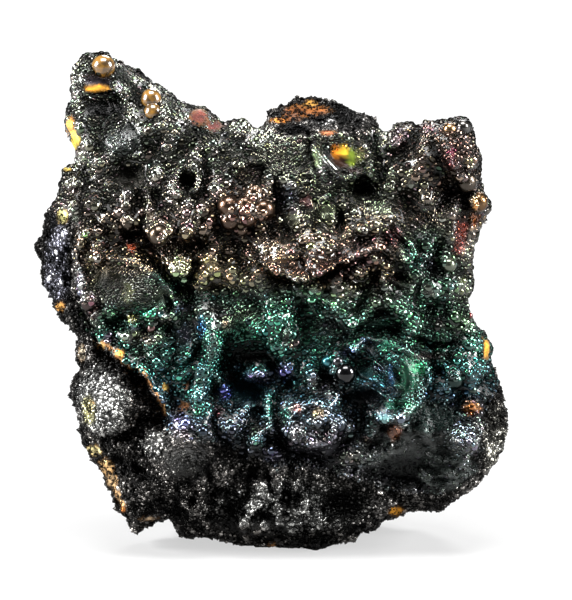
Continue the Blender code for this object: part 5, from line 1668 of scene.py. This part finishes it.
def cut_foot(rock):
    """Cuts the rock off flat at z = 0."""
    bm = bmesh.new()
    bm.from_mesh(rock.data)
    parts = [*bm.verts, *bm.edges, *bm.faces]
    cut = bmesh.ops.bisect_plane(bm, geom=parts, dist=1e-6, plane_co=(0, 0, 0),
                                 plane_no=(0, 0, -1), clear_outer=True)
    edges = [item for item in cut["geom_cut"] if isinstance(item, bmesh.types.BMEdge)]
    bmesh.ops.triangle_fill(bm, use_beauty=True, edges=edges)
    bm.to_mesh(rock.data)
    bm.free()


def grow_rock(sizes):
    """Carves and roughens the slab, and stands it over the origin."""
    bpy.ops.object.select_all(action="DESELECT")
    rock = make_slab()
    apply_modifier(rock, "REMESH", mode="VOXEL", voxel_size=1.1 * sizes.voxel)
    carve(rock)
    apply_modifier(rock, "REMESH", mode="VOXEL", voxel_size=sizes.voxel)
    roughen(rock)
    whole = to_world(points_of(rock))
    middle = (whole.min(axis=0) + whole.max(axis=0)) / 2
    sizes.middle = (middle[0], middle[1])
    set_points(rock, whole - (middle[0], middle[1], 0))
    thin_back(rock, sizes)
    count = len(rock.data.loop_triangles)
    if count > sizes.triangles:
        apply_modifier(rock, "DECIMATE", ratio=sizes.triangles / count)
    cut_foot(rock)
    return rock


def crust_of(face):
    """How much crust lies at each place; it ends a little way down the sides."""
    return look_up("crust", face[:, :2]) * smooth_step((face[:, 2] - CRUST_LOW) / 3)


def ochre_of(face):
    """How much ochre lies at each place; it runs out raggedly down the sides."""
    below = look_up("form", face[:, :2]) - face[:, 2]
    return look_up("ochre", face[:, :2]) * smooth_step((4.5 + 4 * roughness(face, 2.5) - below) / 2)


def shade_of(places):
    """Painted shade: how far the film is darkened in the creases and hollows and lightened on the
    tops.
    """
    return 0.1 + 1.35 * look_up("open", places) ** 1.8


def patchiness(face):
    """Broad light and dark parts of the matrix, about 1."""
    return np.clip(1 + 1.1 * roughness(face, 5, 4), 0.3, 2.2)


def rock_colours(face, crust, ochre, glaze, shade):
    """The film's colour, with matrix, glaze and ochre laid over it in turn, each darkened in the
    creases and hollows and lightened on the tops by painted shade.
    """
    places = face[:, :2]
    shade = shade[:, None]
    bare = look_up("smooth", places)[:, None]
    colours = look_up("film", places) * shade * (ROCK_FILM + BARE_FILM * bare)
    patchy = patchiness(face)[:, None]
    grainy = np.clip(0.85 + 0.8 * roughness(face, 0.8), 0.1, 1.3)[:, None] * (0.4 + 0.8 * shade)
    mottled = np.clip(1 + 0.6 * roughness(face, 0.6), 0.25, 1.6)[:, None]
    layers = ((1 - crust, look_up("matrix", places) * patchy * shade),
              (glaze, look_up("glaze colour", places) * mottled * (0.3 + 0.9 * shade)),
              (ochre, look_up("ochre colour", places) * grainy))
    for share, colour in layers:
        colours = colours * (1 - share[:, None]) + colour * share[:, None]
    return np.clip(colours, 0, 1)


def paint_rock(rock, sizes):
    """Keeps each vertex's colour, metal, coat, roughness and beadiness in the mesh."""
    face = to_face(points_of(rock), sizes.middle)
    places = face[:, :2]
    crust = crust_of(face)
    ochre = ochre_of(face)
    glaze = look_up("glaze", places) * crust * (1 - ochre)
    # Painted shade from the hollows of the face; the sides below the crust get a flat 0.6.
    shade = np.where(face[:, 2] > CRUST_LOW, shade_of(places), 0.6)
    bare = look_up("smooth", places)
    dusty = look_up("dusty", places)
    add_colours(rock.data, "film", rock_colours(face, crust, ochre, glaze, shade))
    metal = MATRIX_METAL * (1 - dusty) * (1 - crust) + 0.65 * crust
    add_values(rock.data, "metal", metal * (1 - ochre) * (1 - glaze))
    # Painted shade: the clear coat is weaker in creases and hollows, which dims their highlights.
    coat = 0.5 * crust * (1 - ochre) * (1 - 0.95 * bare) * shade
    add_values(rock.data, "coat", coat * look_up("gleam", places))
    dull = (1 - crust) * dusty
    add_values(rock.data, "rough", 0.32 + 0.2 * dull - 0.07 * crust + 0.4 * ochre)
    beady = (0.7 + 0.2 * crust) * (1 - 0.3 * glaze) * (1 - 0.5 * ochre) * (1 - 0.9 * bare)
    add_values(rock.data, "beady", beady)


class LIMONITE_OT_rock(bpy.types.Operator):
    """Grow the rock from its outline, its face and its broken back"""

    bl_idname = "limonite.rock"
    bl_label = "Rock"

    def execute(self, context):
        sizes = context.scene.limonite_sizes
        rock = grow_rock(sizes)
        paint_rock(rock, sizes)
        finish_piece(rock, rock_material())
        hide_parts(NODE)
        return {"FINISHED"}


def bead_density(rock, sizes):
    """How thickly the beads lie at each of the rock's vertices."""
    face = to_face(points_of(rock), sizes.middle)
    places = face[:, :2]
    forward = to_face(normals_of(rock))[:, 2]
    density = crust_of(face)
    density *= (1 - 0.85 * look_up("smooth", places)) * (ochre_of(face) < 0.1)
    density *= 1 - 0.93 * look_up("wrinkled", places)
    density *= 1 - look_up("smooth", places) * look_up("glaze", places)
    density /= look_up("bead size", places) ** 2
    return density * smooth_step((forward + 0.6) / 0.4)


def row_beads(sizes, rng):
    """Beads in rows along the rims: their places, normals, radii and gleam."""
    rows = [(place, radius, gleam) for radius, gleam, path in ROWS.values()
            for place in along(path, 1.95 * radius)]
    marks = np.array([place for place, radius, gleam in rows])
    radii = np.array([radius for place, radius, gleam in rows])
    gleam = ROW_FILM * np.array([gleam for place, radius, gleam in rows])
    marks = marks + radii[:, None] * (wandered(marks, 2.2, 1, 70) - marks)
    marks += rng.normal(0, 0.04, marks.shape)
    radii *= rng.uniform(0.75, 1.1, len(rows))
    at, up, found = on_rock(sizes, marks)
    return at[found], up[found], radii[found], gleam[found]


def loose_beads(rock, sizes, rng):
    """Beads all over the crust, the largest first, given as row_beads gives its own."""
    at, up = surface_samples(rock, BEAD_SAMPLES, rng, bead_density(rock, sizes))
    places = to_face(at, sizes.middle)[:, :2]
    radii = sizes.bead / MM * np.exp(0.38 * rng.normal(size=len(at)))
    radii *= look_up("bead size", places) * (1 - 0.4 * look_up("smooth", places))
    radii = np.clip(radii, *BEAD_RANGE)
    order = np.argsort(-radii)
    return at[order], up[order], radii[order], np.full(len(at), BEAD_FILM)


def bead_colours(places, gleam, rng):
    """The colour of each bead, and the strength of its clear coat, both scaled by painted shade:
    lower in the creases and hollows, higher on the tops.
    """
    shade = shade_of(places)
    glazed = (look_up("glaze", places) * (gleam <= BEAD_FILM))[:, None]
    colours = look_up("film", places) * (1 - glazed)
    colours += GLAZED_FILM * look_up("glaze colour", places) * glazed
    vivid = 1 - colours.min(axis=1) / colours.max(axis=1)
    colours *= (gleam * np.exp(0.35 * rng.normal(size=len(places))))[:, None]
    colours *= np.exp(0.12 * rng.normal(size=(len(places), 3)))
    # Painted shade: beads in creases get a weaker coat, and so dimmer highlights.
    coat = (1.15 - 0.65 * vivid) * shade * gleam / BEAD_FILM * look_up("gleam", places)
    return colours * shade[:, None], np.clip(coat, 0.05, 1)


class LIMONITE_OT_beads(bpy.types.Operator):
    """Cover the crust with beads"""

    bl_idname = "limonite.beads"
    bl_label = "Beads"

    def execute(self, context):
        sizes = context.scene.limonite_sizes
        rock = bpy.data.objects["limonite_rock"]
        rng = np.random.default_rng(BEAD_SEED)
        groups = zip(row_beads(sizes, rng), loose_beads(rock, sizes, rng))
        at, up, radii, gleam = (np.concatenate(pair) for pair in groups)
        kept = spaced(at, radii, BEAD_SPACING)
        at, up, radii = at[kept], up[kept], radii[kept]
        places = to_face(at, sizes.middle)[:, :2]
        colours, coat = bead_colours(places, gleam[kept], rng)
        axes = axes_along(up, radii, radii * rng.uniform(0.8, 1.3, len(radii)), rng)
        form, material = bead_form(6, BEAD_RINGS), bead_material()
        for name, (low, high) in BEAD_PIECES.items():
            mine = (places[:, 1] >= low) & (places[:, 1] < high)
            laid(name, form, at[mine], axes[mine], colours[mine], material, coat[mine])
        return {"FINISHED"}


def on_rock(sizes, places):
    """Where lines of sight along -w meet the rock, the normals there, and which ones do."""
    rock = bpy.data.objects["limonite_rock"]
    tree = BVHTree.FromObject(rock, bpy.context.evaluated_depsgraph_get())
    starts = to_world(flat(places) + (0, 0, 30), sizes.middle) * MM
    ahead = Vector(to_world(np.array([(0, 0, -1)]))[0])
    hits = [tree.ray_cast(Vector(start), ahead)[:2] for start in starts]
    found = np.array([hit[0] is not None for hit in hits])
    at = np.array([hit[0] or (0, 0, 0) for hit in hits]) / MM
    up = np.array([hit[1] or (0, 0, 1) for hit in hits])
    return at, up, found


def rods_of_fans(rng):
    """Each rod of the fans: u, v, direction, length and width."""
    rods = []
    for middle, (near, far), (first, last), count, length in FANS.values():
        width = 0.42 * math.radians(last - first) * 0.5 * (near + far) / count
        for angle in np.radians(np.linspace(first, last, count)):
            reach = near + rng.uniform(0, length)
            while reach < far - 0.3 * length:
                turn = angle + rng.normal(0, 0.012)
                u = middle[0] + reach * math.cos(turn)
                v = middle[1] + reach * math.sin(turn)
                own = length * rng.uniform(0.6, 1.2)
                rods.append((u, v, turn, own, width * rng.uniform(0.8, 1.2)))
                reach += 1.05 * own
    return np.array(rods)


def rod_axes(rods, up):
    """Axes of rods that lie on the surface with these normals."""
    turn, own, width = rods[:, 2], rods[:, 3:4], rods[:, 4:]
    ahead = to_world(np.column_stack([np.cos(turn), np.sin(turn), np.zeros(len(turn))]))
    side = unit(np.cross(up, ahead))
    return np.stack([0.55 * own * np.cross(side, up), width * side, width * up], axis=2)


class LIMONITE_OT_rods(bpy.types.Operator):
    """Lay the fans of fine rods"""

    bl_idname = "limonite.rods"
    bl_label = "Rods"

    def execute(self, context):
        sizes = context.scene.limonite_sizes
        rng = np.random.default_rng(ROD_SEED)
        rods = rods_of_fans(rng)
        at, up, found = on_rock(sizes, rods[:, :2])
        colours = ROW_FILM * look_up("film", rods[:, :2])
        colours *= np.exp(0.4 * rng.normal(size=(len(rods), 1)))
        laid("rod_fans", bead_form(8, ROD_RINGS), at[found], rod_axes(rods, up)[found],
             colours[found], bpy.data.materials["iridescent goethite beads"], USUAL_COAT)
        return {"FINISHED"}


def grape_axes(radii, rng):
    """Axes of balls turned at random, each a little out of round."""
    axes = axes_along(unit(rng.normal(size=(len(radii), 3))), radii, radii, rng)
    return axes * rng.uniform(0.85, 1.06, (len(radii), 1, 3))


def lay_grape_beads(centres, radii, colours, sizes, rng):
    """Small beads on the balls of the clusters, most of them in front and above."""
    out = unit(rng.normal(size=(len(radii), GRAPE_BEADS, 3)) + (0, 0.7, 0.9))
    tips = (centres[:, None] + 0.97 * radii[:, None, None] * out).reshape(-1, 3)
    own = rng.uniform(*GRAPE_BEAD_RANGE, len(tips))
    axes = axes_along(to_world(out.reshape(-1, 3)), own, own, rng)
    laid("grape_beads", bead_form(6, BEAD_RINGS), to_world(tips, sizes.middle), axes,
         BEAD_FILM * np.repeat(colours, GRAPE_BEADS, axis=0),
         bpy.data.materials["iridescent goethite beads"], USUAL_COAT)


class LIMONITE_OT_grapes(bpy.types.Operator):
    """Round out the smooth lumps of the clusters"""

    bl_idname = "limonite.grapes"
    bl_label = "Grapes"

    def execute(self, context):
        sizes = context.scene.limonite_sizes
        rng = np.random.default_rng(GRAPE_SEED)
        rows = np.array(DOMES)
        rows = rows[patches_of(rows[:, :2], CLUSTERS, 6, 1) > 0.5]
        at = on_rock(sizes, rows[:, :2])[0]
        radii = 0.5 * (rows[:, 2] + rows[:, 3])
        centres = to_face(at, sizes.middle)
        centres[:, 2] -= 0.9 * radii
        axes = grape_axes(radii, rng)
        colours = look_up("film", rows[:, :2]) * np.exp(0.2 * rng.normal(size=(len(rows), 1)))
        laid("grape_clusters", bead_form(24, BALL_RINGS, 0), to_world(centres, sizes.middle),
             axes, GRAPE_FILM * colours, bpy.data.materials["smooth goethite lumps"], 0.4)
        lay_grape_beads(centres, radii, colours, sizes, rng)
        return {"FINISHED"}


def grain_density(face):
    """How thickly the grains lie at each place of the matrix."""
    density = (1 - crust_of(face)) * (0.1 + 0.9 * smooth_step((face[:, 2] - GRAINS_LOW) / 5))
    dome = {"large dome": MATRIX_PATCHES["large dome"][:4]}
    return density * (1 + 1.2 * patches_of(face[:, :2], dome))


def grain_colours(face, rng):
    """The colour of each grain: the matrix's or the ochre's, with painted shade in the creases and
    hollows, and lighter or darker by chance.
    """
    places = face[:, :2]
    shade = np.where(face[:, 2] > -9, shade_of(places), 0.7)
    shade *= patchiness(face) * np.exp(0.9 * rng.normal(size=len(face)))
    amount = ochre_of(face)[:, None]
    dusty = look_up("dusty", places)[:, None]
    colours = GRAIN_FILM * look_up("matrix", places) * (1 - amount) * (1 - 0.7 * dusty)
    return (colours + 0.3 * look_up("ochre colour", places) * amount) * shade[:, None]


class LIMONITE_OT_grains(bpy.types.Operator):
    """Strew grains over the matrix"""

    bl_idname = "limonite.grains"
    bl_label = "Grains"

    def execute(self, context):
        sizes = context.scene.limonite_sizes
        rock = bpy.data.objects["limonite_rock"]
        rng = np.random.default_rng(GRAIN_SEED)
        density = grain_density(to_face(points_of(rock), sizes.middle))
        at = surface_samples(rock, GRAIN_COUNT, rng, density)[0]
        at = at[at[:, 2] > 0.6]
        radii = np.clip(GRAIN_RADIUS * np.exp(0.5 * rng.normal(size=len(at))), *GRAIN_RANGE)
        axes = unit(axes_along(rng.normal(size=at.shape), radii, radii, rng), axis=1)
        axes *= (radii[:, None] * rng.uniform(0.6, 1.3, (len(at), 3)))[:, None, :]
        colours = grain_colours(to_face(at, sizes.middle), rng)
        laid("matrix_grains", GRAIN, at, axes, colours, grain_material())
        return {"FINISHED"}


def lay_balls(name, group, colours, heights, sizes, material):
    """One ball for each row of the group, sunk a little into the crust."""
    rows = np.array([row[:4] for row in group.values()], float)
    radii, sunk = rows[:, 2], rows[:, 3]
    at = on_rock(sizes, rows[:, :2])[0]
    turned = to_world(np.eye(3))
    centres = at - turned[2] * (radii * sunk)[:, None]
    stretched = np.column_stack([np.ones(len(rows)), heights, np.ones(len(rows))])
    axes = radii[:, None, None] * turned.T * stretched[:, None, :]
    laid(name, bead_form(28, BALL_RINGS, 0), centres, axes, BEAD_FILM * colours, material,
         USUAL_COAT)


class LIMONITE_OT_balls(bpy.types.Operator):
    """Set the single balls and the amber beads on the crust"""

    bl_idname = "limonite.balls"
    bl_label = "Balls"

    def execute(self, context):
        sizes = context.scene.limonite_sizes
        colours = np.array([linear(row[4]) for row in BALLS.values()])
        lay_balls("botryoidal_balls", BALLS, colours, np.ones(len(BALLS)), sizes,
                  grape_material())
        heights = [row[4] for row in AMBER_BEADS.values()]
        lay_balls("amber_beads", AMBER_BEADS, np.ones((len(AMBER_BEADS), 3)), heights, sizes,
                  amber_material())
        return {"FINISHED"}


def lay_floor():
    """A wide floor under the specimen."""
    bpy.ops.object.select_all(action="DESELECT")
    bpy.ops.mesh.primitive_plane_add(size=FLOOR_SIZE)
    floor = bpy.context.object
    floor.name = "floor"
    floor.data.materials.append(floor_material())


def fill_world(scene):
    """Even white light from all round."""
    world = bpy.data.worlds.new("studio")
    world.use_nodes = True
    set_inputs(world.node_tree, world.node_tree.nodes["Background"], Color=(1, 1, 1, 1),
               Strength=WORLD)
    scene.world = world


def add_light(name, place, width, height, power):
    """A panel light that faces the specimen."""
    data = bpy.data.lights.new(name, "AREA")
    data.shape = "RECTANGLE"
    data.size = width
    data.size_y = height
    data.energy = power
    light = bpy.data.objects.new(name, data)
    bpy.context.collection.objects.link(light)
    light.location = place
    light.visible_camera = False
    towards = Vector(LIGHTS_AIM) - light.location
    light.rotation_euler = towards.to_track_quat("-Z", "Y").to_euler()


def aim_camera(sizes):
    """A long lens along -w, framed as the photo is."""
    data = bpy.data.cameras.new("camera")
    data.lens = LENS
    data.clip_end = 20
    camera = bpy.data.objects.new("camera", data)
    bpy.context.collection.objects.link(camera)
    u = (PHOTO_WIDTH / 2 - PHOTO_U0) * MM_PER_PIXEL
    v = (PHOTO_V0 - PHOTO_HEIGHT / 2) * MM_PER_PIXEL
    away = LENS / data.sensor_width * PHOTO_HEIGHT * MM_PER_PIXEL
    place = to_world(np.array([(u, v, CAMERA_PLANE + away)]), sizes.middle)[0]
    camera.location = Vector(place) * MM
    camera.rotation_euler = (math.pi / 2 - LEAN, 0, 0)
    bpy.context.scene.camera = camera


class LIMONITE_OT_stage(bpy.types.Operator):
    """Lay the floor and set the lights and the camera"""

    bl_idname = "limonite.stage"
    bl_label = "Stage"

    def execute(self, context):
        lay_floor()
        for name, light in LIGHTS.items():
            add_light(name, *light)
        fill_world(context.scene)
        context.scene.view_settings.view_transform = "Standard"
        aim_camera(context.scene.limonite_sizes)
        return {"FINISHED"}


class LIMONITE_PT_panel(bpy.types.Panel):
    """Steps of the specimen, in order"""

    bl_idname = "LIMONITE_PT_panel"
    bl_label = "Limonite specimen"
    bl_space_type = "VIEW_3D"
    bl_region_type = "UI"
    bl_category = "Limonite"

    def draw(self, context):
        for name in ("voxel", "triangles", "bead"):
            self.layout.prop(context.scene.limonite_sizes, name)
        for step in STEPS:
            self.layout.operator(step.bl_idname)


STEPS = (LIMONITE_OT_rock, LIMONITE_OT_beads, LIMONITE_OT_rods, LIMONITE_OT_balls,
         LIMONITE_OT_grapes, LIMONITE_OT_grains, LIMONITE_OT_stage)
CLASSES = (LimoniteSizes, *STEPS, LIMONITE_PT_panel)


def register():
    for one in CLASSES:
        bpy.utils.register_class(one)
    bpy.types.Scene.limonite_sizes = bpy.props.PointerProperty(type=LimoniteSizes)


def unregister():
    del bpy.types.Scene.limonite_sizes
    for one in reversed(CLASSES):
        bpy.utils.unregister_class(one)


def main():
    register()
    bpy.ops.limonite.rock()
    bpy.ops.limonite.beads()
    bpy.ops.limonite.rods()
    bpy.ops.limonite.balls()
    bpy.ops.limonite.grapes()
    bpy.ops.limonite.grains()
    bpy.ops.limonite.stage()


if __name__ == "__main__":
    main()
